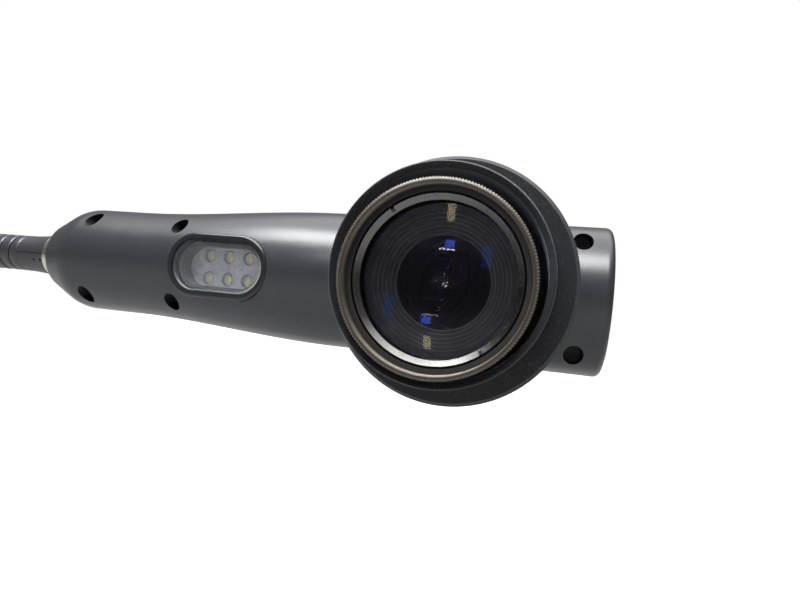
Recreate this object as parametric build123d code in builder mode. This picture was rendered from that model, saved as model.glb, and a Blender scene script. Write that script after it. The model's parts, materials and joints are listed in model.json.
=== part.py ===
from build123d import *
import os
from math import cos, radians, sin

# A lit camera head on a flexible arm. Millimetres, +X along the arm to the head, the lens looks
# along -Y, +Z is up. The origin is where the mounting stud meets its shoulder.

# ---- Mounting stud and arm ----
STUD_R = 6.0              # plain outside of the hollow mounting stud
STUD_LENGTH = 14.0
STUD_BORE_R = 4.2         # holds the connector insert
STUD_CHAMFER = 0.8
INSERT_RECESS = 1.0       # connector insert below the stud's mouth
INSERT_LENGTH = 9.0
PIN_CIRCLE_R = 2.2
PIN_COUNT = 5
CONTACT_R = 0.45
CONTACT_RECESS = 1.0      # pins below the insert's face
SHOULDER_R = 12.0         # flange that bears on whatever the stud goes through
SHOULDER_T = 4.0
SHOULDER_FLATS = 21.0     # across the two spanner flats
ARM_R = 7.7               # outside of the ribbed arm
ARM_BORE_R = 1.9          # passage for the lead
RIB_CORE_R = 7.0          # arm end fittings where the ribbed cover passes over them
BALL_R = 5.2
BALL_NECK_R = 3.0
BALL_CLEARANCE = 0.05     # radial running clearance of each ball in its socket
JOINT_PITCH = 18.0
JOINT_COUNT = 12
JOINT_BEND = 15.0         # degrees each ball joint turns, both ways
LIP = 2.6                 # how far each socket's lip reaches past the ball's centre
LIP_EDGE_R = 0.5          # rounding of each socket's lip
JOINT_GAP = 0.25          # room left between two segments at full bend
FIRST_JOINT_X = 30.0
FERRULE_CORE_R = 6.5      # turned core under each ferrule
FERRULE_FLARE_R = 9.0     # ferrule radius at its wide end
FERRULE_SEAM = 0.3        # lengthwise slit on the lens side of each ferrule
FERRULE_SEAM_DEPTH = 0.25
DIMPLE_R = 0.55           # two crimp marks below the slit
DIMPLE_DEPTH = 0.5        # their floors below the arm's radius
DIMPLE_DROP = 2.9
DIMPLE_SHIFTS = (2.0, 5.9)    # from the ferrule's middle towards its wide end
SLEEVE_LENGTH = 15.6      # smooth sleeve between the ribbed arm and the head

# ---- Head housing ----
HEAD_R = 25.0             # cylinder behind the lens
GRIP_R = 20.9             # thinner end next to the arm
WALL = 2.5
NOSE_R = 11.2             # flat nose face
NOSE_STEP = 1.6           # length of the steep step behind it
NOSE_STEP_R = 14.3        # radius where the step ends and the cone starts
NOSE_RISE = 0.49          # cone radius gained per millimetre of length
NOSE_BLEND_R = 14.8       # rounding between the cone and the grip
NOSE_TO_LENS = 174.8      # from the nose face to the lens axis
SWELL_START = 135.0       # distance before the lens axis where the grip starts to swell
SWELL_END = 50.0          # and where it has reached the head's radius
LENS_TO_END = 45.0        # from the lens axis to the flat end
END_EDGE_R = 2.2
SEAM_WIDTH = 0.4          # groove where the two shells meet
SEAM_DEPTH = 0.3
NECK_R = 24.0             # tube that carries the hood
NECK_LENGTH = 50.0        # from the head's axis to the neck's front

# ---- Nose fittings ----
BUSHING_FLANGE_R = 9.5
BUSHING_FLANGE_T = 3.4
BUSHING_R = 8.4
BUSHING_LENGTH = 7.0
SEAL_T = 2.2
SEAL_R = 11.0
SEAL_EDGE_R = 0.4
NUT_FLATS = 17.0
NUT_T = 5.0
TAIL_SPARE = 3.0          # threaded tail beyond the nut
FIT = 0.1                 # sliding clearance between fixed pieces

# ---- Housing screws ----
SCREW_SPOTS = [(-151.2, 15.0), (-110.1, 14.4), (35.4, 17.8)]   # along X from the lens, each at +Z and -Z
SCREW_R = 1.5
SCREW_HOLE_R = 1.7
SCREW_HEAD_R = 2.75
SCREW_HEAD_T = 2.4
SCREW_LENGTH = 14.0
DRIVE_R = 1.3
DRIVE_DEPTH = 1.3
ACCESS_R = 3.05
SEAT_DEPTH = 6.0          # from the split face to each screw head's seat
BOSS_R = 4.8
REAR_BOSS_R = 4.0

# ---- Lamp ----
WINDOW_TO_LENS = 88.3     # lamp centre to lens axis
BEZEL_LENGTH = 40.4
BEZEL_HEIGHT = 23.2
BEZEL_FRONT = 24.0        # bezel face, measured from the head's axis
BEZEL_EDGE_R = 1.0
BEZEL_BACK = 12.4
BEZEL_FLANGE = 1.5        # thickness and overhang of the flange behind the shell
COVER_LENGTH = 36.0
COVER_HEIGHT = 19.0
COVER_T = 2.4
COVER_RECESS = 0.6        # cover face below the bezel face
COVER_LEDGE = 1.0         # ledge that the cover sits on
COVER_EDGE_R = 0.5
REFLECTOR_WALL = 1.2
REFLECTOR_FLOOR = 2.0
REFLECTOR_STANDOFF = 0.6
LED_PITCH_X = 8.0
LED_PITCH_Z = 8.3
LED_R = 2.5
LED_BASE_R = 2.85
LED_BASE_T = 0.5
LED_HEIGHT = 4.6
LED_TIP_R = 2.25          # rounding of each LED's tip
LAMP_BOARD_T = 1.6
LAMP_BOARD_LENGTH = 38.0
LAMP_BOARD_HEIGHT = 22.0
LAMP_BOARD_CORNER = 7.3

# ---- Hood and close-up lens ----
HOOD_R = 27.3
HOOD_BORE_R = 25.6
HOOD_FRONT = 69.3
HOOD_RIM_R = 0.35         # rounding of the tube's outer edge
HOOD_RIM_BEVEL = 1.2      # inward bevel of the tube's mouth
FLANGE_R = 33.6
FLANGE_FRONT = 51.7
FLANGE_BACK = 46.0
FLANGE_BEVEL = 1.0
COLLAR_BACK = 39.0
RING_R = 24.0
RING_FRONT = 71.6
RING_BACK = 56.0
RING_BEVEL = 0.6
FILTER_R = 22.5           # filter thread's crest in the front of the ring
FILTER_DEPTH = 3.2
GLASS_R = 21.0
GLASS_CLEARANCE = 0.2     # radial room round the glass in its seat
GLASS_LEDGE = 1.7         # rim of the glass that the ring and the retainer hold
CLOSE_UP_DOMES = (0.6, 1.2)   # rise of the front and back faces
GLASS_BACK = 61.0
RETAINER_T = 1.8
RETAINER_BEVEL = 1.3
RETAINER_SLOT = 0.9
RETAINER_SLOT_DEPTH = 1.0
RETAINER_SLOT_ANGLE = -53 # turns the two spanner slots off level
THREAD_CLEARANCE = 0.08   # ring on barrel

# ---- Camera block ----
OPTIC_SHIFT_X = -0.35     # lens axis against the neck's axis
OPTIC_SHIFT_Z = -1.15
BARREL_R = 19.6
BARREL_WALL = 1.6
BARREL_FRONT = 59.0
BOX_FRONT = 14.0          # front of the box behind the barrel
BOX_BACK = -7.0
BOX_WIDTH = 38.0
BOX_HEIGHT = 29.0
BOX_WALL = 1.5
GASKET_FRONT = 45.0
GASKET_T = 4.0
LENS_RIM = 0.6            # flat rim of each inner element
LENS_EDGE = 2.0           # thickness of each inner element at its rim
LENS_SINK = 0.8           # inner elements below their carriages' rear faces
FRONT_LENS_BACK = 51.0
FRONT_LENS_DOMES = (3.0, 1.0)
SECOND_LENS_R = 15.0
SECOND_LENS_BACK = 39.5
SECOND_LENS_DOMES = (2.5, 0.5)
BAFFLE_BACK = 38.0
BAFFLE_T = 0.9
CELL_DEPTH = 4.0
BAFFLE_R = 10.2
ROD_X = 11.6
ROD_R = 0.8
RUNNING = 0.05            # radial clearance on rods and lead screws
CARRIAGE_R = 9.2
CARRIAGE_EAR_R = 2.0
CARRIED_DOMES = (0.8, 0.6)    # of the zoom and the focus element
NUT_ARM_HALF = 1.6        # half the width of each carriage's nut arm at its screw
NUT_ARM_ROOT = (6.5, 3.0) # its corner on the carriage, mirrored about the diagonal
ZOOM_BACK = 33.0          # rear face of the zoom carriage, wide setting
ZOOM_T = 4.0
ZOOM_LENS_R = 7.5
FOCUS_BACK = 8.0
FOCUS_T = 4.0
FOCUS_LENS_R = 6.5
LEAD_SCREW_X = 8.6
LEAD_SCREW_Z = 9.6
LEAD_SCREW_R = 1.0
SCREW_PASS = 0.4          # room round the zoom screw where it goes through the iris plate
SCREW_TIP = 0.7           # lead screw beyond its carriage's front
MOTOR_R = 3.2
MOTOR_CLEARANCE = 0.3
MOTOR_EDGE_R = 0.4
ZOOM_MOTOR_FRONT = 12.0
ZOOM_MOTOR_LENGTH = 8.0
FOCUS_MOTOR_FRONT = 1.0
FOCUS_MOTOR_LENGTH = 6.0
IRIS_FRONT = 18.0
IRIS_T = 1.0
IRIS_APERTURE_R = 5.0
BLADE_T = 0.3
BLADE_GAP = 0.15
BLADE_WIDTH = 9.0
BLADE_HEIGHT = 13.0
BLADE_DROP = 2.0          # middle of each blade below the lens axis
FILTER_WINDOW = 9.0       # side of the infrared filter
FILTER_WINDOW_T = 1.0
SENSOR_WIDTH = 9.0
SENSOR_HEIGHT = 7.5
SENSOR_BOARD_WIDTH = 36.0
SENSOR_BOARD_HEIGHT = 27.0
BOARD_T = 1.6
BOARD_SCREW_X = 15.6
BOARD_SCREW_Z = 11.6
SMALL_SCREW_R = 1.0
SMALL_HEAD_R = 1.9
SMALL_HEAD_T = 1.3
SMALL_SCREW_LENGTH = 5.0
POST_R = 2.2

# ---- Electronics in the grip ----
MAIN_BOARD_BACK = 60.0    # end of the main board nearer the lens, from the lens axis
MAIN_BOARD_LENGTH = 86.0
MAIN_BOARD_HEIGHT = 19.0
MAIN_BOARD_Y = 4.0
CHIP_SIDE = 12.0
CHIP_T = 1.4
CHIP_INSET = 19.0         # chip's middle in from the board's end
CONNECTOR_LENGTH = 8.0
CONNECTOR_HEIGHT = 8.0
CONNECTOR_T = 6.5
LEAD_R = 1.8
HEADER_SIDE = 5.0
RIBBON_T = 0.3
RIBBON_HEIGHT = 10.0
RIBBON_LAP = 4.0          # ribbon over the sensor board
STANDOFF_R = 2.6
STANDOFF_INSET = 5.0      # standoffs in from the board's ends

# ---- Worked out ----
last_joint_x = FIRST_JOINT_X + (JOINT_COUNT - 1) * JOINT_PITCH
base_ribs_x = FIRST_JOINT_X - JOINT_PITCH / 2
sleeve_x = last_joint_x + JOINT_PITCH / 2
sleeve_end_x = sleeve_x + SLEEVE_LENGTH
nose_x = sleeve_end_x + BUSHING_FLANGE_T + SEAL_T
glass_seat_r = GLASS_R + GLASS_CLEARANCE
clear_r = GLASS_R - GLASS_LEDGE
lens_x = nose_x + NOSE_TO_LENS
end_x = lens_x + LENS_TO_END
optic_x = lens_x + OPTIC_SHIFT_X
optic_z = OPTIC_SHIFT_Z
lamp_x = lens_x - WINDOW_TO_LENS
screw_points = [(lens_x + x, z * side) for x, z in SCREW_SPOTS for side in (1, -1)]
bend = radians(JOINT_BEND)
bore_r = BARREL_R - BARREL_WALL
segment_gap = ARM_R * sin(bend) + LIP * cos(bend) - LIP + JOINT_GAP

# Planes that face the way the lens looks: local X is +X, local Y is +Z, heights run along -Y.
front_plane = Plane.XZ
optic_plane = Plane(origin=(optic_x, 0, optic_z), x_dir=(1, 0, 0), z_dir=(0, -1, 0))
optic_section = Plane(origin=(optic_x, 0, optic_z), x_dir=(1, 0, 0), z_dir=(0, 0, 1))
optic_axis = Axis((optic_x, 0, optic_z), (0, 1, 0))
arm_plane = Plane.YZ      # heights run along +X

os.makedirs("parts", exist_ok=True)


def write(piece, name):
    """Label a finished piece and write it to its own file."""
    piece.label = name
    export_step(piece, f"parts/{name}.step")


# ======== Arm ========

def ball_end(joint_x, back_x):
    """A ball on a neck that grows from back_x to a joint, to be joined to a core."""
    with BuildPart() as ball:
        with BuildSketch(arm_plane.offset(back_x)):
            Circle(BALL_NECK_R)
        extrude(amount=joint_x - back_x)
        with Locations((joint_x, 0, 0)):
            Sphere(BALL_R)
    return ball.part


def socket_tube(joint_x, end_x, outer_r):
    """A tube whose lip wraps the ball at joint_x, solid behind the ball up to end_x."""
    with BuildPart() as tube:
        with BuildSketch(arm_plane.offset(joint_x - LIP)):
            Circle(outer_r)
        extrude(amount=end_x - joint_x + LIP)
        fillet(tube.edges().sort_by(Axis.X)[0], LIP_EDGE_R)
        with Locations((joint_x, 0, 0)):
            Sphere(BALL_R + BALL_CLEARANCE, mode=Mode.SUBTRACT)
    return tube.part


def arm_segment(joint_x):
    """One link of the arm: a socket on joint_x and a ball on the next joint."""
    next_x = joint_x + JOINT_PITCH
    shell_end = next_x - LIP - segment_gap
    with BuildPart() as segment:
        add(socket_tube(joint_x, shell_end, ARM_R))
        add(ball_end(next_x, shell_end))
        with BuildSketch(arm_plane.offset(joint_x)):
            Circle(ARM_BORE_R)
        extrude(amount=JOINT_PITCH + BALL_R, mode=Mode.SUBTRACT)
    return segment.part


for number in range(1, JOINT_COUNT):
    write(arm_segment(FIRST_JOINT_X + (number - 1) * JOINT_PITCH), f"arm_segment_{number:02d}")

# Turned base: hollow stud, shoulder with two flats, core under the ferrule, first ball.
base_core_end = FIRST_JOINT_X - LIP - segment_gap
with BuildPart() as base_stud:
    with BuildSketch(arm_plane.offset(-STUD_LENGTH)):
        Circle(STUD_R)
    extrude(amount=STUD_LENGTH)
    chamfer(base_stud.edges().sort_by(Axis.X)[0], STUD_CHAMFER)
    with BuildSketch(arm_plane):
        Circle(SHOULDER_R)
        Rectangle(2 * SHOULDER_R, SHOULDER_FLATS, mode=Mode.INTERSECT)
    extrude(amount=SHOULDER_T)
    with BuildSketch(arm_plane.offset(SHOULDER_T)):
        Circle(FERRULE_CORE_R)
    extrude(amount=base_ribs_x - SHOULDER_T)
    with BuildSketch(arm_plane.offset(base_ribs_x)):
        Circle(RIB_CORE_R)
    extrude(amount=base_core_end - base_ribs_x)
    add(ball_end(FIRST_JOINT_X, base_core_end))
    with BuildSketch(arm_plane.offset(-STUD_LENGTH)):
        Circle(STUD_BORE_R)
    extrude(amount=STUD_LENGTH, mode=Mode.SUBTRACT)
    with BuildSketch(arm_plane):
        Circle(ARM_BORE_R)
    extrude(amount=FIRST_JOINT_X + BALL_R, mode=Mode.SUBTRACT)
write(base_stud.part, "base_stud")

# Connector insert, flush with the stud's mouth, and its five pins.
insert_x = INSERT_RECESS - STUD_LENGTH
with BuildPart() as base_connector:
    with BuildSketch(arm_plane.offset(insert_x)):
        Circle(STUD_BORE_R)
        with PolarLocations(PIN_CIRCLE_R, PIN_COUNT):
            Circle(CONTACT_R, mode=Mode.SUBTRACT)
    extrude(amount=INSERT_LENGTH)
write(base_connector.part, "base_connector")

with BuildPart() as connector_pins:
    with BuildSketch(arm_plane.offset(insert_x + CONTACT_RECESS)):
        with PolarLocations(PIN_CIRCLE_R, PIN_COUNT):
            Circle(CONTACT_R)
    extrude(amount=INSERT_LENGTH - CONTACT_RECESS)
write(connector_pins.part, "connector_pins")


def flared_tube(narrow_x, wide_x):
    """A smooth ferrule over the core, flaring from the arm's radius."""
    with BuildPart() as tube:
        with BuildSketch(Plane.XY):
            with BuildLine():
                Polyline((narrow_x, FERRULE_CORE_R), (narrow_x, ARM_R))
                middle = (narrow_x + wide_x) / 2
                Bezier((narrow_x, ARM_R), (middle, ARM_R), (wide_x, FERRULE_FLARE_R))
                Polyline((wide_x, FERRULE_FLARE_R), (wide_x, FERRULE_CORE_R), (narrow_x, FERRULE_CORE_R))
            make_face()
        revolve(axis=Axis.X)
        with BuildSketch(front_plane.offset(ARM_R - FERRULE_SEAM_DEPTH)):
            with Locations((middle, 0)):
                Rectangle(abs(wide_x - narrow_x), FERRULE_SEAM)
        extrude(amount=FERRULE_FLARE_R, mode=Mode.SUBTRACT)
        outward = 1 if wide_x > narrow_x else -1
        with BuildSketch(front_plane.offset(ARM_R - DIMPLE_DEPTH)):
            with Locations(*[(middle + outward * shift, -DIMPLE_DROP) for shift in DIMPLE_SHIFTS]):
                Circle(DIMPLE_R)
        extrude(amount=FERRULE_FLARE_R, mode=Mode.SUBTRACT)
    return tube.part


with BuildPart() as base_ferrule:
    add(flared_tube(base_ribs_x, SHOULDER_T))
write(base_ferrule.part, "base_ferrule")

with BuildPart() as arm_sleeve:
    add(flared_tube(sleeve_x, sleeve_end_x))
write(arm_sleeve.part, "arm_sleeve")

# Socketed end fitting whose threaded tail carries the head.
tail_end_x = nose_x + BUSHING_LENGTH + NUT_T + TAIL_SPARE
with BuildPart() as arm_end_fitting:
    add(socket_tube(last_joint_x, sleeve_x, RIB_CORE_R))
    with BuildSketch(arm_plane.offset(sleeve_x)):
        Circle(FERRULE_CORE_R)
    extrude(amount=tail_end_x - sleeve_x)
    with BuildSketch(arm_plane.offset(last_joint_x)):
        Circle(ARM_BORE_R + FIT)
    extrude(amount=tail_end_x - last_joint_x, mode=Mode.SUBTRACT)
write(arm_end_fitting.part, "arm_end_fitting")

with BuildPart() as nose_bushing:
    with BuildSketch(arm_plane.offset(sleeve_end_x)):
        Circle(BUSHING_FLANGE_R)
    extrude(amount=BUSHING_FLANGE_T)
    with BuildSketch(arm_plane.offset(sleeve_end_x + BUSHING_FLANGE_T)):
        Circle(BUSHING_R)
    extrude(amount=SEAL_T + BUSHING_LENGTH)
    with BuildSketch(arm_plane.offset(sleeve_end_x)):
        Circle(FERRULE_CORE_R)
    extrude(amount=BUSHING_FLANGE_T + SEAL_T + BUSHING_LENGTH, mode=Mode.SUBTRACT)
write(nose_bushing.part, "nose_bushing")

with BuildPart() as nose_seal:
    with BuildSketch(arm_plane.offset(nose_x - SEAL_T)):
        Circle(SEAL_R)
        Circle(BUSHING_R, mode=Mode.SUBTRACT)
    extrude(amount=SEAL_T)
    fillet(nose_seal.edges().group_by(SortBy.LENGTH)[-1], SEAL_EDGE_R)
write(nose_seal.part, "nose_seal")

with BuildPart() as clamp_nut:
    with BuildSketch(arm_plane.offset(nose_x + BUSHING_LENGTH)):
        RegularPolygon(NUT_FLATS / 2, 6, major_radius=False)
        Circle(FERRULE_CORE_R, mode=Mode.SUBTRACT)
    extrude(amount=NUT_T)
write(clamp_nut.part, "clamp_nut")


# ======== Housing ========

def housing_form(inset):
    """The head's turned form, taken in all round by inset."""
    grip = GRIP_R - inset
    head = HEAD_R - inset
    step_rise = (NOSE_STEP_R - NOSE_R) / NOSE_STEP
    step_start_r = NOSE_R - inset * (1 + step_rise ** 2) ** 0.5
    cone_start_r = NOSE_STEP_R - NOSE_STEP * NOSE_RISE - inset * (1 + NOSE_RISE ** 2) ** 0.5
    step_length = (cone_start_r - step_start_r) / (step_rise - NOSE_RISE)
    front = nose_x + inset
    step_end = nose_x + step_length
    cone_end = nose_x + (grip - cone_start_r) / NOSE_RISE
    swell = (SWELL_START - SWELL_END) / 3
    start = lens_x - SWELL_START
    stop = lens_x - SWELL_END
    with BuildPart() as form:
        with BuildSketch(Plane.XY) as section:
            with BuildLine():
                Polyline((front, 0), (front, step_start_r + inset * step_rise),
                         (step_end, step_start_r + step_length * step_rise), (cone_end, grip), (start, grip))
                Bezier((start, grip), (start + swell, grip), (stop - swell, head), (stop, head))
                Polyline((stop, head), (end_x - inset, head), (end_x - inset, 0), (front, 0))
            make_face()
            corner = section.vertices().sort_by_distance((cone_end, grip, 0))[0]
            fillet(corner, NOSE_BLEND_R - inset)
        revolve(axis=Axis.X)
        fillet(form.edges().sort_by(Axis.X)[-1], END_EDGE_R - inset * 0.5)
    return form.part


outer_form = housing_form(0)
inner_form = housing_form(WALL)

with BuildPart() as seam_groove:
    add(outer_form)
    add(housing_form(SEAM_DEPTH), mode=Mode.SUBTRACT)
    with BuildSketch(front_plane.offset(-SEAM_WIDTH / 2)):
        with Locations((lens_x, 0)):
            Rectangle(2 * (lens_x - nose_x + LENS_TO_END), 3 * HEAD_R)
    extrude(amount=SEAM_WIDTH, mode=Mode.INTERSECT)

with BuildPart() as front_bosses:
    with BuildSketch(front_plane):
        with Locations(*screw_points):
            Circle(BOSS_R)
    extrude(amount=HEAD_R)
    add(outer_form, mode=Mode.INTERSECT)

with BuildPart() as front_shell:
    add(outer_form)
    with BuildSketch(front_plane):
        with Locations((lens_x, 0)):
            Circle(NECK_R)
    extrude(amount=NECK_LENGTH)
    add(inner_form, mode=Mode.SUBTRACT)
    add(front_bosses.part)
    add(seam_groove.part, mode=Mode.SUBTRACT)
    split(bisect_by=Plane.XZ, keep=Keep.TOP)
    with BuildSketch(front_plane):
        with Locations((lens_x, 0)):
            Circle(NECK_R - WALL)
    extrude(amount=NECK_LENGTH, mode=Mode.SUBTRACT)
    with BuildSketch(front_plane.offset(SEAT_DEPTH)):
        with Locations(*screw_points):
            Circle(ACCESS_R)
    extrude(amount=HEAD_R, mode=Mode.SUBTRACT)
    with BuildSketch(front_plane):
        with Locations(*screw_points):
            Circle(SCREW_HOLE_R)
    extrude(amount=SEAT_DEPTH, mode=Mode.SUBTRACT)
    with BuildSketch(front_plane.offset(BEZEL_BACK)):
        with Locations((lamp_x, 0)):
            SlotOverall(BEZEL_LENGTH + 2 * FIT, BEZEL_HEIGHT + 2 * FIT)
    extrude(amount=HEAD_R, mode=Mode.SUBTRACT)
    with BuildSketch(arm_plane.offset(nose_x)):
        Circle(BUSHING_R)
    extrude(amount=BUSHING_LENGTH, mode=Mode.SUBTRACT)
write(front_shell.part, "front_shell")

standoff_points = [(lens_x - MAIN_BOARD_BACK - STANDOFF_INSET, 0),
                   (lens_x - MAIN_BOARD_BACK - MAIN_BOARD_LENGTH + STANDOFF_INSET, 0)]
main_board_back_y = MAIN_BOARD_Y + BOARD_T
sensor_board_back_y = -BOX_BACK + BOARD_T
post_points = [(optic_x, optic_z + side * BOARD_SCREW_Z) for side in (1, -1)]
screw_tip = SEAT_DEPTH - SCREW_LENGTH

with BuildPart() as rear_supports:
    with BuildSketch(front_plane):
        with Locations(*screw_points):
            Circle(REAR_BOSS_R)
    extrude(amount=-HEAD_R)
    with BuildSketch(front_plane.offset(-main_board_back_y)):
        with Locations(*standoff_points):
            Circle(STANDOFF_R)
    extrude(amount=-HEAD_R)
    with BuildSketch(front_plane.offset(-sensor_board_back_y)):
        with Locations(*post_points):
            Circle(POST_R)
    extrude(amount=-HEAD_R)
    add(outer_form, mode=Mode.INTERSECT)

with BuildPart() as rear_shell:
    add(outer_form)
    add(inner_form, mode=Mode.SUBTRACT)
    add(rear_supports.part)
    add(seam_groove.part, mode=Mode.SUBTRACT)
    split(bisect_by=Plane.XZ, keep=Keep.BOTTOM)
    with BuildSketch(front_plane):
        with Locations(*screw_points):
            Circle(SCREW_R)
    extrude(amount=screw_tip, mode=Mode.SUBTRACT)
    with BuildSketch(front_plane.offset(-main_board_back_y)):
        with Locations(*standoff_points):
            Circle(SMALL_SCREW_R)
    extrude(amount=BOARD_T - SMALL_SCREW_LENGTH, mode=Mode.SUBTRACT)
    with BuildSketch(arm_plane.offset(nose_x)):
        Circle(BUSHING_R)
    extrude(amount=BUSHING_LENGTH, mode=Mode.SUBTRACT)
write(rear_shell.part, "rear_shell")

with BuildPart() as housing_screws:
    with BuildSketch(front_plane.offset(screw_tip)):
        with Locations(*screw_points):
            Circle(SCREW_R)
    extrude(amount=SCREW_LENGTH)
    with BuildSketch(front_plane.offset(SEAT_DEPTH)):
        with Locations(*screw_points):
            Circle(SCREW_HEAD_R)
    extrude(amount=SCREW_HEAD_T)
    with BuildSketch(front_plane.offset(SEAT_DEPTH + SCREW_HEAD_T - DRIVE_DEPTH)):
        with Locations(*screw_points):
            RegularPolygon(DRIVE_R, 6)
    extrude(amount=DRIVE_DEPTH, mode=Mode.SUBTRACT)
write(housing_screws.part, "housing_screws")


# ======== Lamp ========
cover_back = BEZEL_FRONT - COVER_RECESS - COVER_T
throat_length = COVER_LENGTH - 2 * COVER_LEDGE
throat_height = COVER_HEIGHT - 2 * COVER_LEDGE
reflector_back = BEZEL_BACK + REFLECTOR_STANDOFF
led_points = [(column * LED_PITCH_X, row * LED_PITCH_Z) for column in (-1, 0, 1) for row in (-0.5, 0.5)]
lamp_plane = Plane(origin=(lamp_x, 0, 0), x_dir=(1, 0, 0), z_dir=(0, -1, 0))

with BuildPart() as lamp_bezel:
    with BuildSketch(lamp_plane.offset(BEZEL_BACK)):
        SlotOverall(BEZEL_LENGTH, BEZEL_HEIGHT)
    extrude(amount=BEZEL_FRONT - BEZEL_BACK)
    fillet(lamp_bezel.faces().sort_by(Axis.Y)[0].edges(), BEZEL_EDGE_R)
    with BuildSketch(lamp_plane.offset(BEZEL_BACK)):
        SlotOverall(BEZEL_LENGTH + 2 * BEZEL_FLANGE, BEZEL_HEIGHT + 2 * BEZEL_FLANGE)
    extrude(amount=BEZEL_FLANGE)
    with BuildSketch(lamp_plane.offset(cover_back)):
        SlotOverall(COVER_LENGTH, COVER_HEIGHT)
    extrude(amount=BEZEL_FRONT - cover_back, mode=Mode.SUBTRACT)
    with BuildSketch(lamp_plane.offset(BEZEL_BACK)):
        SlotOverall(throat_length, throat_height)
    extrude(amount=cover_back - BEZEL_BACK, mode=Mode.SUBTRACT)
write(lamp_bezel.part, "lamp_bezel")

with BuildPart() as lamp_cover:
    with BuildSketch(lamp_plane.offset(cover_back)):
        SlotOverall(COVER_LENGTH - 2 * FIT, COVER_HEIGHT - 2 * FIT)
    extrude(amount=COVER_T)
    fillet(lamp_cover.faces().sort_by(Axis.Y)[0].edges(), COVER_EDGE_R)
write(lamp_cover.part, "lamp_cover")

with BuildPart() as lamp_reflector:
    with BuildSketch(lamp_plane.offset(reflector_back)):
        SlotOverall(throat_length - 2 * FIT, throat_height - 2 * FIT)
    extrude(amount=cover_back - FIT - reflector_back)
    with BuildSketch(lamp_plane.offset(reflector_back + REFLECTOR_FLOOR)):
        SlotOverall(throat_length - 2 * (FIT + REFLECTOR_WALL), throat_height - 2 * (FIT + REFLECTOR_WALL))
    extrude(amount=BEZEL_FRONT, mode=Mode.SUBTRACT)
    with BuildSketch(lamp_plane.offset(reflector_back)):
        with Locations(*led_points):
            Circle(LED_R + FIT)
    extrude(amount=REFLECTOR_FLOOR, mode=Mode.SUBTRACT)
write(lamp_reflector.part, "lamp_reflector")

with BuildPart() as lamp_leds:
    with BuildSketch(lamp_plane.offset(BEZEL_BACK)):
        with Locations(*led_points):
            Circle(LED_BASE_R)
    extrude(amount=LED_BASE_T)
    with BuildSketch(lamp_plane.offset(BEZEL_BACK)):
        with Locations(*led_points):
            Circle(LED_R)
    extrude(amount=LED_HEIGHT)
    tips = lamp_leds.faces().filter_by(GeomType.PLANE).group_by(Axis.Y)[0]
    fillet(tips.edges(), LED_TIP_R)
write(lamp_leds.part, "lamp_leds")

with BuildPart() as lamp_board:
    with BuildSketch(lamp_plane.offset(BEZEL_BACK - LAMP_BOARD_T)):
        RectangleRounded(LAMP_BOARD_LENGTH, LAMP_BOARD_HEIGHT, LAMP_BOARD_CORNER)
    extrude(amount=LAMP_BOARD_T)
write(lamp_board.part, "lamp_board")


# ======== Electronics in the grip ========
main_board_x = lens_x - MAIN_BOARD_BACK - MAIN_BOARD_LENGTH / 2
board_plane = Plane(origin=(main_board_x, MAIN_BOARD_Y, 0), x_dir=(1, 0, 0), z_dir=(0, -1, 0))

with BuildPart() as main_board:
    with BuildSketch(board_plane.offset(-BOARD_T)):
        Rectangle(MAIN_BOARD_LENGTH, MAIN_BOARD_HEIGHT)
        with Locations(*[(x - main_board_x, 0) for x, z in standoff_points]):
            Circle(SMALL_SCREW_R + FIT, mode=Mode.SUBTRACT)
    extrude(amount=BOARD_T)
write(main_board.part, "main_board")

with BuildPart() as board_screws:
    with BuildSketch(board_plane):
        with Locations(*[(x - main_board_x, 0) for x, z in standoff_points]):
            Circle(SMALL_HEAD_R)
    extrude(amount=SMALL_HEAD_T)
    with BuildSketch(board_plane):
        with Locations(*[(x - main_board_x, 0) for x, z in standoff_points]):
            Circle(SMALL_SCREW_R)
    extrude(amount=-SMALL_SCREW_LENGTH)
write(board_screws.part, "board_screws")

with BuildPart() as processor_chip:
    with BuildSketch(board_plane):
        with Locations((MAIN_BOARD_LENGTH / 2 - CHIP_INSET, 0)):
            Rectangle(CHIP_SIDE, CHIP_SIDE)
    extrude(amount=CHIP_T)
write(processor_chip.part, "processor_chip")

connector_x = standoff_points[1][0] + SMALL_HEAD_R + FIT + CONNECTOR_LENGTH / 2
with BuildPart() as lead_connector:
    with BuildSketch(board_plane):
        with Locations((connector_x - main_board_x, 0)):
            Rectangle(CONNECTOR_LENGTH, CONNECTOR_HEIGHT)
    extrude(amount=CONNECTOR_T)
write(lead_connector.part, "lead_connector")

# Lead from the arm's tail, past the board's end screw, into its connector.
lead_start_x = sleeve_x
lead_end_x = connector_x - CONNECTOR_LENGTH / 2
with BuildPart() as arm_lead:
    with BuildSketch(arm_plane.offset(lead_start_x)):
        Circle(LEAD_R)
    extrude(amount=lead_end_x - lead_start_x)
write(arm_lead.part, "arm_lead")

lamp_board_back = BEZEL_BACK - LAMP_BOARD_T
with BuildPart() as lamp_header:
    with BuildSketch(lamp_plane.offset(-MAIN_BOARD_Y)):
        Rectangle(HEADER_SIDE, HEADER_SIDE)
    extrude(amount=lamp_board_back + MAIN_BOARD_Y)
write(lamp_header.part, "lamp_header")


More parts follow.
